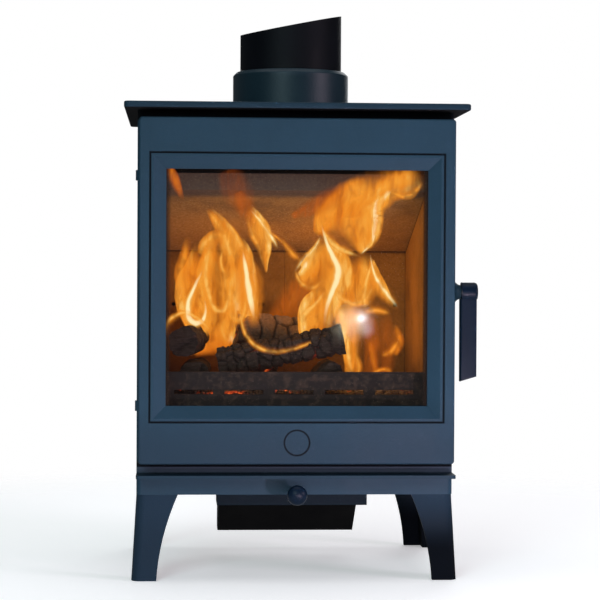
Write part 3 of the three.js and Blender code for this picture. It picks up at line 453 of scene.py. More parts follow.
def firebrick():
    """Pressed vermiculite board: flakes and fine pits, with painted firelight reddening the rear
    bricks behind the fire.

    It carries sooty clouds and darkens towards the bottom; painted shade darkens it by the door,
    and painted shade with sooty staining lies in the joint under the baffle.
    """
    brick = Finish("firebrick")
    depth, height = brick.place(DEPTH), brick.place(HEIGHT)
    flakes = brick.cells(FLAKES_PER_METRE)
    speck = brick.noise(SPECKS_PER_METRE, detail=3)
    cloud = brick.noise(11, detail=5, roughness=0.6)
    tone = brick.colours(speck * 0.6 + flakes * 0.8, [
        (0.2, (0.22, 0.106, 0.018)),
        (0.5, (0.28, 0.138, 0.026)),
        (0.8, (0.34, 0.178, 0.038)),
    ])
    # Darker towards the bottom
    low_down = height.ramp(200, 300, 1.0, 0.0)
    soot_and_shade = (cloud.ramp(0.35, 0.75) * 0.55 + low_down * 0.55).least(0.92)
    # Painted shade by the door: the bricks' front ends, which the door's reveal shades
    by_the_door = depth.ramp(88, 96, 0.72, 0.0)
    # Painted firelight: the rear bricks behind the fire turned a deeper red-orange
    behind_the_fire = depth.ramp(REAR_BRICK_FACE - 2, REAR_BRICK_FACE, 0.0, 0.42)
    tone = brick.blend(behind_the_fire, tone, FIRELIT_BRICK)
    # Painted shade with soot in the joint under the baffle
    under_baffle = height + (depth - BAFFLE_HIGH.y) * BAFFLE_SLOPE
    in_the_joint = under_baffle.ramp(BAFFLE_LOW.z - 5, BAFFLE_LOW.z - 0.5, 0.0, 0.95)
    tone = brick.blend(soot_and_shade.most(by_the_door).most(in_the_joint), tone, BROWN_SOOT_AND_SHADE)
    pits = brick.bump(flakes, 0.5, 0.5)
    return brick.done(
        Base_Color=tone,
        Roughness=0.93,
        Specular_IOR_Level=0.05,
        Normal=brick.bump(speck, 0.25, 0.6, under=pits),
    )


def baffle_board():
    """The same board over the fire, burnt paler, with dark clouds and a grey front lip."""
    board = Finish("baffle_board")
    flakes = board.cells(FLAKES_PER_METRE)
    speck = board.noise(SPECKS_PER_METRE, detail=3)
    cloud = board.noise(13, detail=5, roughness=0.6)
    tone = board.colours(speck * 0.6 + flakes * 0.7, [
        (0.25, (0.18, 0.098, 0.028)),
        (0.55, (0.25, 0.142, 0.044)),
        (0.85, (0.32, 0.192, 0.068)),
    ])
    tone = board.blend(cloud.ramp(0.45, 0.75) * 0.55, tone, (0.06, 0.04, 0.028))
    lip = board.place(DEPTH).ramp(BAFFLE_LOW.y + 14, BAFFLE_LOW.y + 32, 0.75, 0.0)
    tone = board.blend(lip, tone, (0.045, 0.045, 0.050))
    return board.done(
        Base_Color=tone,
        Roughness=0.95,
        Specular_IOR_Level=0.05,
        Normal=board.bump(flakes, 0.5, 0.6),
    )


def sooted_steel():
    """Black sheet inside the firebox: dry soot with rust-brown scale."""
    steel = Finish("sooted_steel")
    scale = steel.noise(120, detail=5, roughness=0.65)
    tone = steel.blend(scale.ramp(0.45, 0.75), (0.012, 0.010, 0.009), (0.055, 0.036, 0.024))
    return steel.done(
        Base_Color=tone,
        Roughness=0.8,
        Specular_IOR_Level=0.25,
        Normal=steel.bump(scale, 0.6, 0.6),
    )


def rope():
    """Glass-fibre rope: pale grey yarn, browned in patches by the fire."""
    yarn = Finish("rope")
    fibre = yarn.noise(2400)
    smoke = yarn.noise(45, detail=3)
    tone = yarn.blend(fibre.ramp(0.3, 0.7), (0.12, 0.115, 0.105), (0.30, 0.29, 0.27))
    tone = yarn.blend(smoke.ramp(0.45, 0.8) * 0.7, tone, (0.06, 0.045, 0.03))
    return yarn.done(
        Base_Color=tone,
        Roughness=0.95,
        Specular_IOR_Level=0.15,
        Normal=yarn.bump(fibre, 0.15, 0.8),
    )


def charred_wood():
    """Charcoal blocks with brown-grey ash on their faces and fire down in the cracks."""
    wood = Finish("charred_wood")
    crack = wood.measure("crack")
    ash = wood.measure("ash")
    fibre = wood.noise(1, detail=4, vector=wood.here((160, 160, 900)))
    fine = wood.noise(700, detail=4, roughness=0.65)
    char = wood.blend(fibre.ramp(0.35, 0.7), (0.010, 0.008, 0.007), (0.034, 0.026, 0.022))
    ashen = wood.blend(fine.ramp(0.3, 0.7), (0.115, 0.072, 0.045), (0.25, 0.165, 0.105))
    tone = wood.blend(ash * fine.ramp(0.1, 0.5), char, ashen)
    fire = crack * wood.noise(30, detail=3).ramp(0.60, 0.76)
    glow = wood.colours(fire, [
        (0.0, (0.0, 0.0, 0.0)),
        (0.5, (0.5, 0.04, 0.004)),
        (1.0, (1.0, 0.26, 0.03)),
    ])
    return wood.done(
        Base_Color=tone,
        Roughness=0.85,
        Specular_IOR_Level=0.12,
        Normal=wood.bump(fine, 0.5, 0.7),
        Emission_Color=glow,
        Emission_Strength=0.8,
        sampled="NONE",
    )


def ember_coals():
    """Lumps of charcoal, grey with ash, with orange heat in the cracks between them."""
    coal = Finish("ember_coals")
    crack = coal.measure("crack")
    fine = coal.noise(500, detail=4, roughness=0.6)
    tone = coal.blend(fine.ramp(0.35, 0.65), (0.018, 0.014, 0.012), (0.16, 0.13, 0.11))
    patch = coal.noise(17).ramp(0.50, 0.66)
    heat = crack * 1.1 + coal.noise(26, detail=3).ramp(0.42, 0.7) * 0.5
    fire = heat * fine.ramp(0.2, 0.7, 0.5, 1.0) * patch
    glow = coal.colours(fire, [
        (0.15, (0.0, 0.0, 0.0)),
        (0.45, (0.35, 0.03, 0.003)),
        (0.75, (1.0, 0.20, 0.02)),
        (1.0, (1.0, 0.50, 0.10)),
    ])
    return coal.done(
        Base_Color=tone,
        Roughness=0.9,
        Specular_IOR_Level=0.2,
        Normal=coal.bump(fine, 0.8, 0.7),
        Emission_Color=glow,
        Emission_Strength=1.6,
        sampled="NONE",
    )


def door_glass():
    """Clear ceramic glass, faintly smoked, darker and browner along both sides."""
    glass = Finish("door_glass")
    smoke = glass.noise(16, detail=3)
    # Darker along both sides
    side_darkening = abs(glass.place(SIDEWAYS)).ramp(WINDOW_HALF - 7, WINDOW_HALF + 1, 0.0, 0.62)
    return glass.done(
        Base_Color=glass.blend(smoke, (0.014, 0.008, 0.005), (0.022, 0.013, 0.009)),
        Roughness=0.03,
        Specular_IOR_Level=0.8,
        Alpha=0.10 + side_darkening,
    )


FLAME_COLOURS = [
    (0.0, (0.10, 0.012, 0.001)),
    (0.25, (0.42, 0.075, 0.005)),
    (0.5, (0.84, 0.17, 0.008)),
    (0.7, (1.02, 0.29, 0.016)),
    (0.85, (1.10, 0.41, 0.040)),
    (0.95, (1.18, 0.64, 0.14)),
    (1.0, (1.32, 1.05, 0.55)),
]


def flame():
    """Burning gas: soft glowing veils, and thin bright folds where a sheet is seen edge on.

    A tongue's warmth sets its colour, veil goes from 0 for a fold to 1 for a soft sheet, and
    lean moves its brightest line towards one side.
    """
    gas = Finish("flame")
    across = gas.axis(gas.add("ShaderNodeUVMap"), 0)
    along = gas.axis(gas.add("ShaderNodeUVMap"), 1)
    warmth = gas.measure("warmth")
    veil = gas.measure("veil")
    lean = gas.measure("lean")
    flow = gas.noise(1, vector=gas.here((60, 6, 26)), distortion=0.5)
    streaks = gas.noise(1, vector=gas.here((120, 9, 34)), distortion=0.6)
    across = across + (flow - 0.5) * 0.20
    from_fold = abs(across - 0.5 - lean * 0.26)
    core = from_fold.ramp(0.0, 0.23, 1.0, 0.0)
    glow = from_fold.ramp(0.0, 0.42 + abs(lean) * 0.25, 1.0, 0.0)
    fold_edge = across.ramp(0.02, 0.42 + lean * 0.30)
    fold_edge = fold_edge * (0.98 - across).ramp(0.0, 0.40 - lean * 0.30)
    veil_edge = across.ramp(0.03, 0.34 + lean * 0.36)
    veil_edge = veil_edge * (0.97 - across).ramp(0.0, 0.31 - lean * 0.26)
    root = along.ramp(0.0, 0.08) * veil + along.ramp(0.0, 0.22) * (1 - veil)
    ends = root * (1 - along).ramp(0.0, 0.30)
    waver = gas.noise(75, detail=1).ramp(0.32, 0.60, 0.30, 1.0)
    steady = warmth.ramp(0.97, 1.04)
    rim = abs(across - 0.5 - lean * 0.42).ramp(0.0, 0.26, 1.0, 0.0) * abs(lean)
    thin = warmth * (0.68 + glow * 0.18 + core * 0.14) + (streaks - 0.5) * 0.12
    broad = warmth * (0.83 + glow * 0.10 + rim * 0.20)
    broad = broad + (flow - 0.5) * 0.38 + (streaks - 0.5) * 0.26
    level = thin * (1 - veil) + broad * veil
    folded = fold_edge * (glow ** 1.3 * 0.55 + core * 0.45) * waver.most(steady)
    spread = veil_edge * streaks.ramp(0.28, 0.58, 0.55, 1.0).most(rim)
    cover = ends * (folded * (1 - veil) + spread * veil) * warmth.ramp(0.3, 0.75, 0.15, 1.0)
    return gas.done(
        Base_Color=(0.0, 0.0, 0.0),
        Roughness=1.0,
        Specular_IOR_Level=0.0,
        Emission_Color=gas.colours(level.least(1).most(0), FLAME_COLOURS),
        Emission_Strength=1.0,
        Alpha=cover.least(0.97).most(0),
    )


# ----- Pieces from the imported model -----

SMOOTH_ANGLE = math.radians(35)
SHARP_ANGLE = math.radians(28)
FLAT_ANGLE = math.radians(0.15)
SHORTEST_EDGE = 3.5 * MM
SAME_POINT = 0.002 * MM
EDGE_PROFILE = 0.6


def show(mesh, name, material, body, slot, nodes=()):
    """Puts a mesh in the scene as a smooth piece that rides on a body."""
    mesh.polygons.foreach_set("use_smooth", [True] * len(mesh.polygons))
    mesh.set_sharp_from_angle(angle=SMOOTH_ANGLE)
    piece = put(name, mesh)
    mesh.materials.clear()
    mesh.materials.append(material)
    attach(piece, body)
    if nodes:
        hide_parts(*nodes)
    return piece


def ease_edges(node, width, material, slot):
    """Replaces a node with the same piece, its sharp edges eased by a width in millimetres."""
    mesh = frame["nodes"][node].data.copy()
    work = bmesh.new()
    work.from_mesh(mesh)
    bmesh.ops.remove_doubles(work, verts=work.verts, dist=SAME_POINT)
    bmesh.ops.dissolve_limit(
        work, angle_limit=FLAT_ANGLE, verts=work.verts, edges=work.edges)
    sharp = [
        edge for edge in work.edges
        if len(edge.link_faces) == 2
        and edge.calc_face_angle(0) > SHARP_ANGLE
        and edge.calc_length() > SHORTEST_EDGE
    ]
    bmesh.ops.bevel(
        work, geom=sharp, affect="EDGES", offset_type="OFFSET", offset=width * MM,
        segments=2, profile=EDGE_PROFILE, clamp_overlap=True)
    work.to_mesh(mesh)
    work.free()
    piece = show(mesh, f"{node}_eased", material, BODY_OF[node], slot, (node,))
    even = piece.modifiers.new("even_shading", "WEIGHTED_NORMAL")
    even.keep_sharp = True


# The metal pieces: their slot, finish and the width of their eased edges in millimetres
EASED = [
    ("stove_paint", "door", 0.9, "door_casting"),
    ("stove_paint", "frame", 0.9, "front_frame"),
    ("stove_paint", "collar", 0.9, "flue_collar"),
    ("stove_paint", "leg", 1.2, "leg_front_left", "leg_front_right", "leg_rear_left",
     "leg_rear_right"),
    ("stove_paint", "cast", 1.0, "hinge_lug_upper", "hinge_lug_lower"),
    ("stove_paint", "collar", 1.0, "handle_bush"),
    ("stove_paint", "plate", 0.5, "top_plate"),
    ("panel_paint", "plate", 0.7, "base_plate"),
    ("panel_paint", "panel", 0.7, "skirt_front", "skirt_left", "skirt_right", "skirt_rear",
     "side_panel_left", "side_panel_right", "rear_panel"),
    ("panel_paint", "duct", 0.7, "air_duct"),
    ("black_steel", "pipe", 0.4, "flue_pipe"),
    ("black_steel", "inlet", 0.4, "air_inlet", "air_spigot", "air_damper"),
    ("handle_paint", "handle", 0.6, "handle_hub", "handle_grip", "air_knob"),
    ("plain_steel", "steel", 0.4, "strike_plate", "latch_hook", "handle_spindle", "air_rod",
     "hinge_pin_upper", "hinge_pin_lower"),
]

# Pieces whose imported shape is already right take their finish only
KEPT = {
    "brick": ["floor_brick_left", "floor_brick_right", "side_brick_left", "side_brick_right",
              "rear_brick_left", "rear_brick_right"],
    "baffle": ["baffle"],
    "soot_and_shade": ["firebox_floor", "air_riser", "airwash_deflector", "log_guard"],
    "rope": ["glass_gasket"],
    "steel": ["glass_retainer_top", "glass_retainer_bottom", "retainer_screw_1",
              "retainer_screw_2", "retainer_screw_3", "retainer_screw_4"],
    "glass": ["door_glass"],
}


def dress_pieces(look):
    for slot, finish, width, *nodes in EASED:
        for node in nodes:
            ease_edges(node, width, look[finish], slot)
    for finish, nodes in KEPT.items():
        for node in nodes:
            slots = frame["nodes"][node].data.materials
            slots.clear()
            slots.append(look[finish])


# ----- Door rope -----

SEAL_WIDTH, ROPE_CORNER = 8, 7
ROPE_STITCH, ROWS_PER_STITCH = 5.2, 5
ROPE_STRANDS, ROPE_COLUMNS = 4, 20
ROPE_CORE, STRAND_RELIEF = 0.90, 0.09


def grid_faces(rows, columns, closed=False, first=0):
    """Faces over rows and columns of points; closed joins the last column to the first."""
    faces = []
    for r in range(rows - 1):
        row = first + r * columns
        for c in range(columns if closed else columns - 1):
            after = (c + 1) % columns
            faces.append((row + c, row + after, row + columns + after, row + columns + c))
    return faces


def grid_mesh(name, rows, columns, point, closed=False):
    """A mesh over rows and columns of points."""
    mesh = bpy.data.meshes.new(name)
    verts = [point(r, c) for r in range(rows) for c in range(columns)]
    mesh.from_pydata(verts, [], grid_faces(rows, columns, closed))
    return mesh


def round_the_frame(half, low, high, run):
    """The place a run of millimetres along a frame with rounded corners, and its way out."""
    corner = ROPE_CORNER
    across, up, arc = 2 * (half - corner), high - low - 2 * corner, corner * math.pi / 2
    sides = [
        (Vector((-half + corner, low)), Vector((1, 0)), across),
        (Vector((half, low + corner)), Vector((0, 1)), up),
        (Vector((half - corner, high)), Vector((-1, 0)), across),
        (Vector((-half, high - corner)), Vector((0, -1)), up),
    ]
    for start, way, length in sides:
        outward = Vector((way.y, -way.x))
        if run <= length:
            return start + way * run, outward
        run -= length
        if run <= arc:
            turn = run / corner
            turned = outward * math.cos(turn) + way * math.sin(turn)
            return start + way * length + (turned - outward) * corner, turned
        run -= arc
    return sides[0][0], Vector((0, -1))


def make_door_rope(material):
    """The door's seal as a knitted rope, whose strands cross as they wind round it."""
    low, high = span("door_seal")
    thick, deep = SEAL_WIDTH / 2, (high.y - low.y) / 2
    half, bottom, top = high.x - thick, low.z + thick, high.z - thick
    straights = 4 * (half - ROPE_CORNER) + 2 * (top - bottom - 2 * ROPE_CORNER)
    length = straights + 2 * math.pi * ROPE_CORNER
    stitches = round(length / ROPE_STITCH)
    rows = stitches * ROWS_PER_STITCH

    def point(r, c):
        angle = 2 * math.pi * c / ROPE_COLUMNS
        wind = 2 * math.pi * stitches * r / rows
        turn = ROPE_STRANDS * angle
        swell = ROPE_CORE + STRAND_RELIEF * max(math.cos(turn + wind), math.cos(turn - wind))
        place, outward = round_the_frame(half, bottom, top, length * r / rows)
        place = place + outward * math.cos(angle) * thick * swell
        return at(place.x, (low.y + high.y) / 2 + math.sin(angle) * deep * swell, place.y)

    mesh = grid_mesh("door_rope", rows + 1, ROPE_COLUMNS, point, closed=True)
    show(mesh, "door_rope", material, "door", "rope_seal", ("door_seal",))


# ----- Logs and embers -----


def carry(mesh, measures):
    """Stores measures on a mesh, a number for each of its points."""
    for key, values in measures.items():
        mesh.attributes.new(key, "FLOAT", "POINT").data.foreach_set("value", values)


CRACK_STEEPNESS = 3.2


def cell_gap(place, per_metre, stretch=(1, 1, 1)):
    """0 in a crack between two cells of charcoal and 1 well inside one."""
    scaled = Vector([a * b * per_metre for a, b in zip(place, stretch)])
    distances, _ = noise.voronoi(scaled)
    return min(1.0, (distances[1] - distances[0]) * CRACK_STEEPNESS)


# For each log: how deep its cracks go, how much ash lies on it, and its blocks' size in mm
LOGS = {
    "log_base_left": (1.0, 0.15, 16),
    "log_base_middle": (1.0, 0.15, 18),
    "log_base_right": (1.0, 0.15, 16),
    "log_front": (1.2, 0.22, 13),
    "log_back": (0.8, 1.0, 24),
    "log_left": (0.7, 0.12, 30),
}
CRACK_DEPTH = 4.0
HOLLOW_DEPTH = 1.2
LOG_SHRINK = 0.3
LOG_ROWS, LOG_COLUMNS, CAP_ROWS = 130, 120, 18
CORE_SHARE = 0.72
SMALL_BLOCK = 0.45
BLOCK_STRETCH, SMALL_STRETCH = (1.0, 0.45, 0.45), (1.0, 0.6, 0.6)
SMALL_SHIFT = Vector((0.3, 0.1, 0.7))
SWELLS_PER_METRE = 45


def log_frame(node):
    """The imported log's points, middle, long axis, two cross axes and half length."""
    points = np.array([v.co for v in frame["nodes"][node].data.vertices])
    middle = (points.min(0) + points.max(0)) / 2
    _, _, axes = np.linalg.svd(points - points.mean(0), full_matrices=False)
    along = axes[0] * np.sign(axes[0][np.argmax(np.abs(axes[0]))])
    half = np.abs((points - middle) @ along).max()
    up = np.array([0, 0, 1]) - along * along[2]
    up /= np.linalg.norm(up)
    return points, middle, along, np.cross(along, up), up, half


def make_log(node, material, rough, ash, block):
    """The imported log, charred into blocks that are parted by cracks across and along it."""
    points, middle, along, side, up, half = log_frame(node)
    half -= LOG_SHRINK * MM
    cracks, ashes = [], []

    def point(r, c):
        angle = 2 * math.pi * c / LOG_COLUMNS
        outward = side * math.cos(angle) + up * math.sin(angle)
        reach = ((points - middle) @ outward).max() - LOG_SHRINK * MM
        radial = min(r, LOG_ROWS - 1 - r, CAP_ROWS) / CAP_ROWS
        run = (r - CAP_ROWS) / (LOG_ROWS - 1 - 2 * CAP_ROWS) * 2 - 1
        station = max(-1.0, min(1.0, run)) * half
        place = middle + along * station + outward * reach * radial
        core = middle + along * max(-half * CORE_SHARE, min(half * CORE_SHARE, station))
        inward = Vector(core - place).normalized()
        offset = place - middle
        local = Vector((offset @ along, offset @ side, offset @ up))
        gap = cell_gap(local, 1 / (block * MM), BLOCK_STRETCH)
        small = cell_gap(local + SMALL_SHIFT, 1 / (SMALL_BLOCK * block * MM), SMALL_STRETCH)
        swell = noise.fractal(local * SWELLS_PER_METRE, 0.6, 2.0, 3)
        depth = rough * CRACK_DEPTH * ((1 - gap) ** 3 + (1 - small) ** 2 * 0.3)
        depth += HOLLOW_DEPTH * max(0.0, 1 - swell)
        cracks.append(max(0.0, 1 - gap * 2.2))
        ashes.append(ash * min(1.0, 0.45 + 0.55 * max(0.0, -inward.z)) * min(1.0, gap * 1.6))
        return Vector(place) + inward * depth * MM

    mesh = grid_mesh(node, LOG_ROWS, LOG_COLUMNS, point, closed=True)
    carry(mesh, {"crack": cracks, "ash": ashes})
    show(mesh, f"{node}_charred", material, "stove_body", "charred_wood", (node,))


BED_ROWS, BED_COLUMNS = 180, 260
BED_EDGE_HEIGHT, BED_CROWN = 24, 8
COALS_PER_METRE, COAL_DEPTH = 62, 7.5
CHIPS_PER_METRE, CHIP_DEPTH = 150, 2.2
CHIP_SHIFT = Vector((0.5, 0.2, 0))
HEAPS_PER_METRE, HEAP_RELIEF = 40, 2.5


def make_ember_bed(material):
    """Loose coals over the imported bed: a heap of cells that fills the same space."""
    low, high = span("ember_bed")
    cracks = []

    def point(r, c):
        x = low.x + (high.x - low.x) * c / (BED_COLUMNS - 1)
        y = low.y + (high.y - low.y) * r / (BED_ROWS - 1)
        share = (y - low.y) / (high.y - low.y)
        crown = BED_EDGE_HEIGHT + BED_CROWN * (1 - (share * 2 - 1) ** 2)
        spot = Vector((x, y, 0)) * MM
        gap = cell_gap(spot, COALS_PER_METRE)
        small = cell_gap(spot + CHIP_SHIFT, CHIPS_PER_METRE)
        cracks.append(max(0.0, 1 - gap * 1.3))
        drop = COAL_DEPTH * (1 - gap) ** 1.5 + CHIP_DEPTH * (1 - small)
        drop += HEAP_RELIEF * noise.noise(spot * HEAPS_PER_METRE)
        if r in (0, BED_ROWS - 1) or c in (0, BED_COLUMNS - 1):
            return at(x, y, low.z)
        return at(x, y, low.z + crown - max(0.0, drop))

    mesh = grid_mesh("ember_bed", BED_ROWS, BED_COLUMNS, point)
    carry(mesh, {"crack": cracks})
    show(mesh, "ember_coals", material, "stove_body", "embers", ("ember_bed",))


# ----- Flames -----


def smooth_path(points):
    """A Catmull-Rom curve through the points."""
    padded = [2 * points[0] - points[1], *points, 2 * points[-1] - points[-2]]
    runs = len(points) - 1
    path = []
    for i in range(FLAME_STEPS + 1):
        place = min(i / FLAME_STEPS * runs, runs - 1e-9)
        k = int(place)
        t = place - k
        a, b, c, d = padded[k:k + 4]
        path.append(0.5 * (2 * b + (c - a) * t + (2 * a - 5 * b + 4 * c - d) * t * t
                           + (3 * b - a - 3 * c + d) * t ** 3))
    return path


# Tongues of flame: warmth, veil, lean and depth, then the path seen from the front, each point
# of it with its x, z and the tongue's width there
LEFT_FIRE = [
    # The soft body of the left fire
    (0.80, 1, -0.7, 196, (-106, 280, 30), (-122, 320, 42), (-127, 350, 36), (-121, 380, 22),
     (-116, 406, 6)),
    (0.82, 1, -0.4, 193, (-100, 286, 30), (-106, 326, 46), (-106, 362, 42), (-99, 392, 28),
     (-93, 418, 6)),
    (0.86, 1, 0.7, 190, (-84, 276, 34), (-81, 322, 56), (-79, 362, 54), (-75, 394, 42),
     (-79, 414, 30), (-90, 434, 16), (-104, 450, 5)),
    (0.84, 1, 0.8, 184, (-66, 292, 30), (-60, 332, 42), (-57, 362, 38), (-58, 392, 24),
     (-64, 414, 6)),
    (0.66, 1, 0, 200, (-124, 268, 20), (-94, 282, 46), (-72, 286, 46), (-50, 304, 20)),
    # Tip and shoulders
    (0.88, 0.7, -0.3, 168, (-70, 388, 38), (-76, 408, 36), (-85, 424, 26), (-96, 437, 16),
     (-106, 448, 6)),
    (0.90, 0, 0.7, 164, (-60, 316, 26), (-57, 352, 34), (-60, 385, 32), (-73, 416, 20)),
    # The white-hot streak
    (1.10, 0, -0.4, 150, (-60, 396, 5), (-57, 372, 18), (-54, 348, 27), (-51, 328, 24),
     (-45, 308, 6)),
    (0.82, 0.7, 0, 156, (-62, 404, 10), (-54, 366, 40), (-49, 338, 42), (-46, 316, 28),
     (-44, 294, 10)),
    # Folds that hang in loops
    (0.92, 0, 0.8, 146, (-100, 394, 8), (-101, 370, 26), (-97, 345, 30), (-89, 325, 28),
     (-81, 336, 24), (-78, 356, 12)),
    (1.04, 0, 0.6, 148, (-108, 372, 6), (-117, 348, 18), (-124, 328, 28), (-122, 312, 30),
     (-114, 308, 26), (-108, 318, 16), (-108, 336, 6)),
    (0.88, 0, 0.8, 142, (-72, 344, 8), (-70, 324, 22), (-65, 312, 26), (-60, 324, 20),
     (-58, 340, 8)),
    (0.90, 0, -0.4, 144, (-86, 398, 8), (-88, 380, 16), (-84, 362, 18), (-82, 344, 8)),
    # Left flank and the stray licks at the top
    (0.76, 0.5, -0.5, 150, (-128, 330, 14), (-134, 362, 26), (-130, 387, 24), (-128, 414, 8)),
    (0.84, 0.6, -0.6, 149, (-112, 388, 14), (-104, 400, 26), (-92, 409, 28), (-78, 408, 14)),
    (0.60, 0.8, -0.3, 60, (-153, 500, 12), (-146, 484, 18), (-134, 456, 5)),
    (0.39, 1, 0, 60, (-80, 498, 34), (-68, 470, 52), (-50, 436, 30)),
    # The lick round the left log
    (0.90, 0, -0.7, 118, (-157, 276, 8), (-154, 297, 16), (-146, 308, 18), (-132, 313, 18),
     (-119, 308, 17), (-108, 299, 14), (-98, 290, 7)),
]

MIDDLE_FIRE = [
    # The leaf
    (0.86, 1, 0.8, 162, (-30, 366, 3), (-31, 382, 10), (-33, 400, 24), (-40, 419, 36),
     (-48, 438, 26), (-55, 454, 8)),
    (0.98, 0, -0.7, 158, (-52, 448, 7), (-38, 426, 24), (-27, 410, 24), (-15, 396, 8)),
    (0.88, 0, 0.6, 159, (-53, 440, 7), (-45, 416, 17), (-38, 402, 16), (-31, 372, 6)),
    (0.46, 1, 0, 150, (-66, 470, 14), (-58, 452, 30), (-48, 430, 24)),
    # The stray ribbon to its right
    (0.84, 0.2, 0.2, 160, (-28, 421, 5), (-9, 407, 11), (4, 392, 18), (15, 382, 7)),
    # Behind the back log
    (0.48, 1, 0, 236, (-24, 296, 30), (-4, 322, 50), (14, 344, 50), (24, 366, 20)),
    # The fold along the front of the back log
    (0.90, 0, 0.5, 92, (-62, 334, 7), (-59, 307, 14), (-53, 290, 15), (-42, 277, 16),
     (-25, 270, 16), (-6, 271, 15), (13, 276, 13), (34, 284, 10), (52, 292, 5)),
]

RIGHT_FIRE = [
    # The great plume that sweeps up to the right corner
    (0.86, 1, 0.5, 150, (89, 390, 2), (88, 402, 26), (86, 418, 56), (80, 438, 84), (88, 455, 84),
     (106, 470, 66), (130, 481, 50), (156, 487, 46), (176, 488, 30)),
    (0.90, 1, 0.9, 148, (89, 391, 3), (94, 410, 30), (94, 434, 42), (96, 455, 44), (112, 473, 34),
     (136, 483, 16)),
    (0.80, 1, -0.3, 154, (34, 414, 14), (47, 434, 46), (66, 452, 60), (88, 468, 52),
     (112, 484, 28)),
    (0.47, 1, 0, 158, (0, 438, 8), (24, 447, 26), (54, 462, 38), (86, 480, 22)),
    (0.94, 0, 0.8, 146, (41, 427, 9), (55, 410, 24), (71, 400, 24), (90, 390, 8)),
    (0.90, 0.2, 0.8, 147, (88, 390, 8), (103, 413, 24), (108, 433, 26), (108, 456, 24),
     (116, 469, 20), (131, 474, 8)),
    (0.86, 0.2, 0.7, 60, (126, 472, 8), (146, 468, 18), (155, 471, 18), (168, 486, 8)),
    (0.88, 0.9, 0, 58, (108, 470, 20), (134, 484, 34), (164, 488, 30)),
    # The ribbon of white heat
    (1.06, 0, -0.3, 138, (39, 430, 6), (43, 414, 13), (47, 400, 18), (53, 387, 27), (59, 374, 37),
     (58, 362, 38), (52, 347, 30), (48, 335, 24), (45, 320, 20), (43, 296, 9)),
    (0.86, 1, -0.6, 148, (44, 408, 26), (56, 376, 52), (50, 345, 52), (44, 318, 38), (42, 290, 16)),
    # The body on its left
    (0.84, 1, -0.8, 156, (38, 272, 40), (33, 304, 50), (37, 328, 44), (48, 350, 20)),
    (0.94, 0, -0.8, 144, (22, 276, 10), (20, 303, 22), (27, 316, 24), (38, 328, 22), (49, 345, 10)),
    # The lobe that curls to the left
    (0.98, 0, 0.8, 152, (41, 415, 8), (37, 400, 19), (29, 389, 23), (19, 379, 23), (6, 366, 9)),
    (0.86, 1, -0.8, 156, (12, 358, 18), (24, 363, 38), (33, 374, 42), (39, 392, 32), (42, 412, 10)),
    (0.88, 0, 0.7, 150, (8, 372, 8), (16, 358, 20), (29, 353, 21), (45, 364, 9)),
    # Between the ribbon and the right tongue
    (0.82, 1, 0.5, 160, (80, 326, 60), (82, 348, 66), (88, 370, 48), (97, 394, 14)),
    (0.90, 0, 0.8, 140, (58, 350, 10), (68, 340, 24), (80, 335, 28), (93, 338, 26), (100, 350, 20),
     (103, 368, 9)),
    # The right tongue and the dark window inside it
    (1.00, 0, -0.3, 132, (101, 393, 5), (105, 370, 17), (112, 354, 25), (123, 338, 28),
     (139, 321, 11)),
    (0.86, 1, -0.7, 135, (103, 386, 6), (107, 362, 24), (115, 345, 24), (133, 323, 8)),
    (0.92, 0, 0.4, 134, (106, 382, 9), (100, 360, 18), (97, 340, 20), (97, 316, 10)),
    (0.86, 0.2, 0.2, 133, (92, 317, 10), (105, 321, 18), (116, 320, 18), (130, 316, 9)),
    # The body below, beside the front log
    (0.84, 1, -0.6, 164, (80, 238, 22), (79, 276, 30), (78, 308, 46), (82, 340, 44)),
    (0.48, 1, 0, 166, (102, 238, 20), (105, 270, 30), (103, 300, 26), (98, 320, 10)),
    (0.42, 1, 0, 168, (121, 238, 22), (125, 268, 30), (122, 298, 26), (127, 322, 8)),
    (0.94, 0.2, 0.3, 128, (74, 290, 8), (77, 264, 22), (81, 240, 14)),
    (0.84, 0.4, 0, 130, (86, 238, 14), (88, 250, 16), (84, 266, 8)),
    (0.60, 0.5, 0.4, 131, (103, 282, 10), (108, 259, 16), (113, 240, 12)),
    (0.78, 0.3, 0, 126, (104, 241, 10), (120, 246, 12), (132, 241, 10)),
    (0.66, 0.4, 0.4, 136, (134, 262, 10), (138, 282, 20), (133, 304, 9)),
    (0.76, 0.2, 0.5, 127, (116, 264, 9), (128, 270, 18), (138, 284, 9)),
]

FIRES = {"flames_left": LEFT_FIRE, "flames_middle": MIDDLE_FIRE, "flames_right": RIGHT_FIRE}

FLAME_STEPS, FLAME_COLUMNS = 40, 11
FIRE_PLANE, CLEAR_OF_BAFFLE = 170, 9
FLAME_SWAY, SWAYS_PER_MM = 4, 0.02
# How far the edges of a tongue bend back, in full where it is at least as wide as the second
FLAME_BOW, FULLY_BOWED = 8, 30


def on_sight(x, z, depth):
    """The point at a depth that the camera sees behind a place in the fire's middle plane."""
    eye = Vector(CAMERA_PLACE)
    seen = Vector((x, FIRE_PLANE, z))
    return at(*(eye + (seen - eye) * ((depth - eye.y) / (FIRE_PLANE - eye.y))))


def flame_depth(depth, z, layer):
    """Flames lean forward under the sloping baffle, in layers, and pass in front of its edge."""
    clear = CLEAR_OF_BAFFLE + layer
    under = BAFFLE_HIGH.y - max(0.0, z - BAFFLE_LOW.z) / BAFFLE_SLOPE - clear
    return min(depth, max(under, BAFFLE_LOW.y - clear))


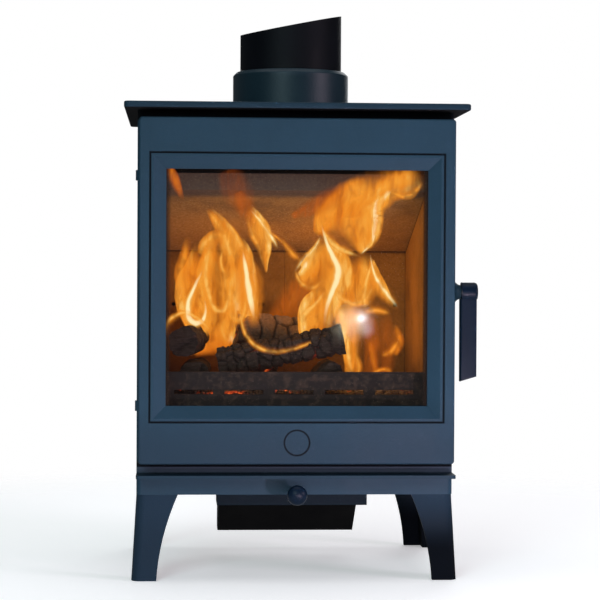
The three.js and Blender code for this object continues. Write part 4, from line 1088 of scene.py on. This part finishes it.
def flame_sheet(points, depth, layer):
    """The points of one tongue's bowed sheet, row by row along its path."""
    path = smooth_path([Vector(p) for p in points])
    for i, spot in enumerate(path):
        ahead = path[min(i + 1, FLAME_STEPS)] - path[max(i - 1, 0)]
        normal = Vector((-ahead.y, ahead.x)).normalized()
        for k in range(FLAME_COLUMNS):
            across = k / (FLAME_COLUMNS - 1) * 2 - 1
            x = spot.x - normal.x * across * spot.z / 2
            z = spot.y - normal.y * across * spot.z / 2
            bowed = FLAME_BOW * across ** 2 * min(1, spot.z / FULLY_BOWED)
            sway = FLAME_SWAY * noise.noise(Vector((x * SWAYS_PER_MM, z * SWAYS_PER_MM, depth)))
            yield on_sight(x, z, flame_depth(depth + sway + bowed, z, layer))


def make_flames(name, tongues, material):
    """Bowed sheets of burning gas, as one piece of the fire."""
    verts, faces = [], []
    measures = {"warmth": [], "veil": [], "lean": []}
    for layer, (warmth, veil, lean, depth, *points) in enumerate(tongues):
        faces += grid_faces(FLAME_STEPS + 1, FLAME_COLUMNS, first=len(verts))
        verts += flame_sheet(points, depth, layer)
        for key, value in zip(measures, (warmth, veil, lean)):
            measures[key] += [value] * (len(verts) - len(measures[key]))
    mesh = bpy.data.meshes.new(name)
    mesh.from_pydata(verts, [], faces)
    flow = mesh.uv_layers.new(name="flow")
    places = [
        (k / (FLAME_COLUMNS - 1), i / FLAME_STEPS)
        for i in range(FLAME_STEPS + 1) for k in range(FLAME_COLUMNS)
    ]
    for loop in mesh.loops:
        flow.data[loop.index].uv = places[loop.vertex_index % len(places)]
    carry(mesh, measures)
    piece = show(mesh, name, material, "stove_body", "embers")
    piece.visible_shadow = False


# ----- Lights -----

FIRELIGHT = (1.0, 0.44, 0.085)
COOL_ROOM, ROOM_STRENGTH = (0.86, 0.93, 1.0), 0.12
SHEETS_SEEN_THROUGH = 48

# Glowing gas: place in the stove's millimetres, watts and the glow's radius in metres
FIRE_BULBS = {
    "fire_left": ((-80, 185, 345), 0.20, 0.03),
    "fire_right": ((60, 180, 350), 0.22, 0.03),
    "fire_high": ((80, 150, 425), 0.08, 0.03),
    "fire_low": ((95, 150, 262), 0.10, 0.02),
    "fire_front": ((-20, 100, 345), 0.07, 0.02),
}

# Soft boxes: place, aim and size in metres, watts and colour
SOFT_BOXES = {
    "key": ((-1.0, -2.7, 1.3), (0, 0, 0.35), (1.1, 1.1), 33, (0.70, 0.98, 1.0)),
    "side": ((2.6, -1.6, 0.9), (0, 0, 0.35), (1.0, 1.0), 34, (1.0, 0.82, 0.98)),
    "top": ((0, -0.2, 2.6), (0, 0, 0), (2.2, 2.2), 26, (1.0, 1.0, 1.0)),
    "back": ((0.5, 2.4, 1.3), (0, 0, 0.35), (1.8, 1.4), 20, (0.95, 0.98, 1.0)),
    "low": ((0.1, -1.3, 0.085), (0, 0, 0.12), (0.7, 0.04), 5.0, (1.0, 0.84, 0.98)),
}


def add_light(name, kind, place, power, colour):
    light = put(name, bpy.data.lights.new(name, kind))
    light.data.energy = power
    light.data.color = colour
    light.location = place
    light.visible_camera = False
    return light


def add_bulb(name, place, power, radius, colour=FIRELIGHT):
    light = add_light(name, "POINT", at(*place), power, colour)
    light.data.shadow_soft_size = radius


def add_soft_box(name, place, aim, size, power, colour):
    light = add_light(name, "AREA", place, power, colour)
    light.data.shape = "RECTANGLE"
    light.data.size, light.data.size_y = size
    light.rotation_euler = (Vector(aim) - Vector(place)).to_track_quat("-Z", "Y").to_euler()


def add_world():
    """White where the camera looks past the stove, and a dim cool room as its light."""
    world = bpy.data.worlds.new("studio")
    world.use_nodes = True
    nodes, links = world.node_tree.nodes, world.node_tree.links
    nodes.clear()
    seen = nodes.new("ShaderNodeBackground")
    seen.inputs["Color"].default_value = (1, 1, 1, 1)
    room = nodes.new("ShaderNodeBackground")
    room.inputs["Color"].default_value = (*COOL_ROOM, 1)
    room.inputs["Strength"].default_value = ROOM_STRENGTH
    path = nodes.new("ShaderNodeLightPath")
    mix = nodes.new("ShaderNodeMixShader")
    out = nodes.new("ShaderNodeOutputWorld")
    links.new(path.outputs["Is Camera Ray"], mix.inputs[0])
    links.new(room.outputs[0], mix.inputs[1])
    links.new(seen.outputs[0], mix.inputs[2])
    links.new(mix.outputs[0], out.inputs["Surface"])
    SCENE.world = world


def light_the_stove():
    for name, bulb in FIRE_BULBS.items():
        add_bulb(name, *bulb)
    SCENE.view_settings.view_transform = "Standard"
    SCENE.cycles.transparent_max_bounces = SHEETS_SEEN_THROUGH
    add_world()
    for name, box in SOFT_BOXES.items():
        add_soft_box(name, *box)
    add_bulb("near_floor", (255, -560, 28), 8.0, 0.022, (1.0, 0.76, 0.95))


# ----- Stage -----


def add_disc(name, radius, segments, material):
    """A flat round sheet for the stage."""
    mesh = bpy.data.meshes.new(name)
    work = bmesh.new()
    bmesh.ops.create_circle(work, cap_ends=True, radius=radius, segments=segments)
    work.to_mesh(mesh)
    work.free()
    mesh.materials.append(material)
    return put(name, mesh)


LAMP_STRENGTH, LAMP_SIDES = 420.0, 48
GLASS_FACE = span("door_glass")[0].y

# Where the camera sees each lamp in the glass (x, z) and how far the lamp stands in front of
# it, in millimetres; its radius in metres, its colour, and how bright its halo and core are
MIRRORED_LAMPS = {
    "lamp_bright": (77.0, 314.6, 2000, 0.040, (1.0, 0.97, 1.0), 0.060, 0.60),
    "lamp_cool": (84.0, 301.2, 2030, 0.024, (0.62, 0.78, 1.0), 0.055, 0.0),
    "lamp_haze": (63.5, 309.0, 2060, 0.064, (0.90, 0.95, 0.74), 0.060, 0.0),
}


def add_mirrored_lamp(name, x, z, distance, radius, colour, halo, core):
    """A small bright lamp in front of the stove, where the door's glass mirrors it."""
    lamp = Finish(name)
    away = lamp.from_middle()
    glow = away.ramp(0.1 * radius, radius, 1.0, 0.0) ** 2.0 * halo
    glow = glow + away.ramp(0.04 * radius, 0.21 * radius, 1.0, 0.0) * core
    piece = add_disc(name, radius, LAMP_SIDES, lamp.done(
        Base_Color=(0.0, 0.0, 0.0),
        Specular_IOR_Level=0.0,
        Emission_Color=colour,
        Emission_Strength=LAMP_STRENGTH,
        Alpha=glow.least(1.0),
    ))
    eye, glass = Vector(CAMERA_PLACE), Vector((x, GLASS_FACE, z))
    ray = (glass - eye) * (distance / (glass.y - eye.y))
    piece.location = at(glass.x + ray.x, glass.y - ray.y, glass.z + ray.z)
    piece.rotation_euler = (math.radians(90), 0, 0)
    piece.visible_camera = False


FLOOR_RADIUS, FLOOR_SIDES = 1.3, 128
UNDER_THE_FEET = -0.2 * MM


def add_floor():
    """A pale round floor that fades into the white around it."""
    pale = Finish("floor")
    away = pale.from_middle()
    grain = pale.noise(300)
    floor = add_disc("floor", FLOOR_RADIUS, FLOOR_SIDES, pale.done(
        Base_Color=pale.blend(grain, (0.90, 0.90, 0.90), (0.93, 0.93, 0.93)),
        Roughness=0.7,
        Specular_IOR_Level=0.1,
        Emission_Color=(1.0, 1.0, 1.0),
        Emission_Strength=0.35,
        Alpha=away.ramp(FLOOR_RADIUS * 0.55, FLOOR_RADIUS * 0.98, 1.0, 0.0),
    ))
    floor.location.z = UNDER_THE_FEET


# ----- Assembly -----

add_camera()
FINISHES = {
    "cast": sand_cast(Finish("cast_paint"), shine=0.15),
    "door": door_paint(),
    "frame": frame_paint(),
    "collar": collar_paint(),
    "leg": leg_paint(),
    "panel": panel_paint(),
    "plate": panel_paint("plate_paint", depth=0.76, shine=0.12),
    # Painted shade: the duct's paint is a much darker copy of the panels', standing in for the
    # shade under the stove
    "duct": panel_paint("duct_shaded_paint", depth=0.3, shine=0.06),
    "pipe": black_steel(),
    "inlet": black_steel("inlet_shaded_paint", 0.02, INLET_SHADED_DEEP, INLET_SHADED_PALE),
    "handle": handle_paint(),
    "steel": plain_steel(),
    "brick": firebrick(),
    "baffle": baffle_board(),
    "soot_and_shade": sooted_steel(),
    "rope": rope(),
    "glass": door_glass(),
}
dress_pieces(FINISHES)
make_door_rope(FINISHES["rope"])
charcoal = charred_wood()
for log, log_look in LOGS.items():
    make_log(log, charcoal, *log_look)
make_ember_bed(ember_coals())
burning_gas = flame()
for fire, tongues in FIRES.items():
    make_flames(fire, tongues, burning_gas)
light_the_stove()
for lamp_name, lamp_look in MIRRORED_LAMPS.items():
    add_mirrored_lamp(lamp_name, *lamp_look)
add_floor()
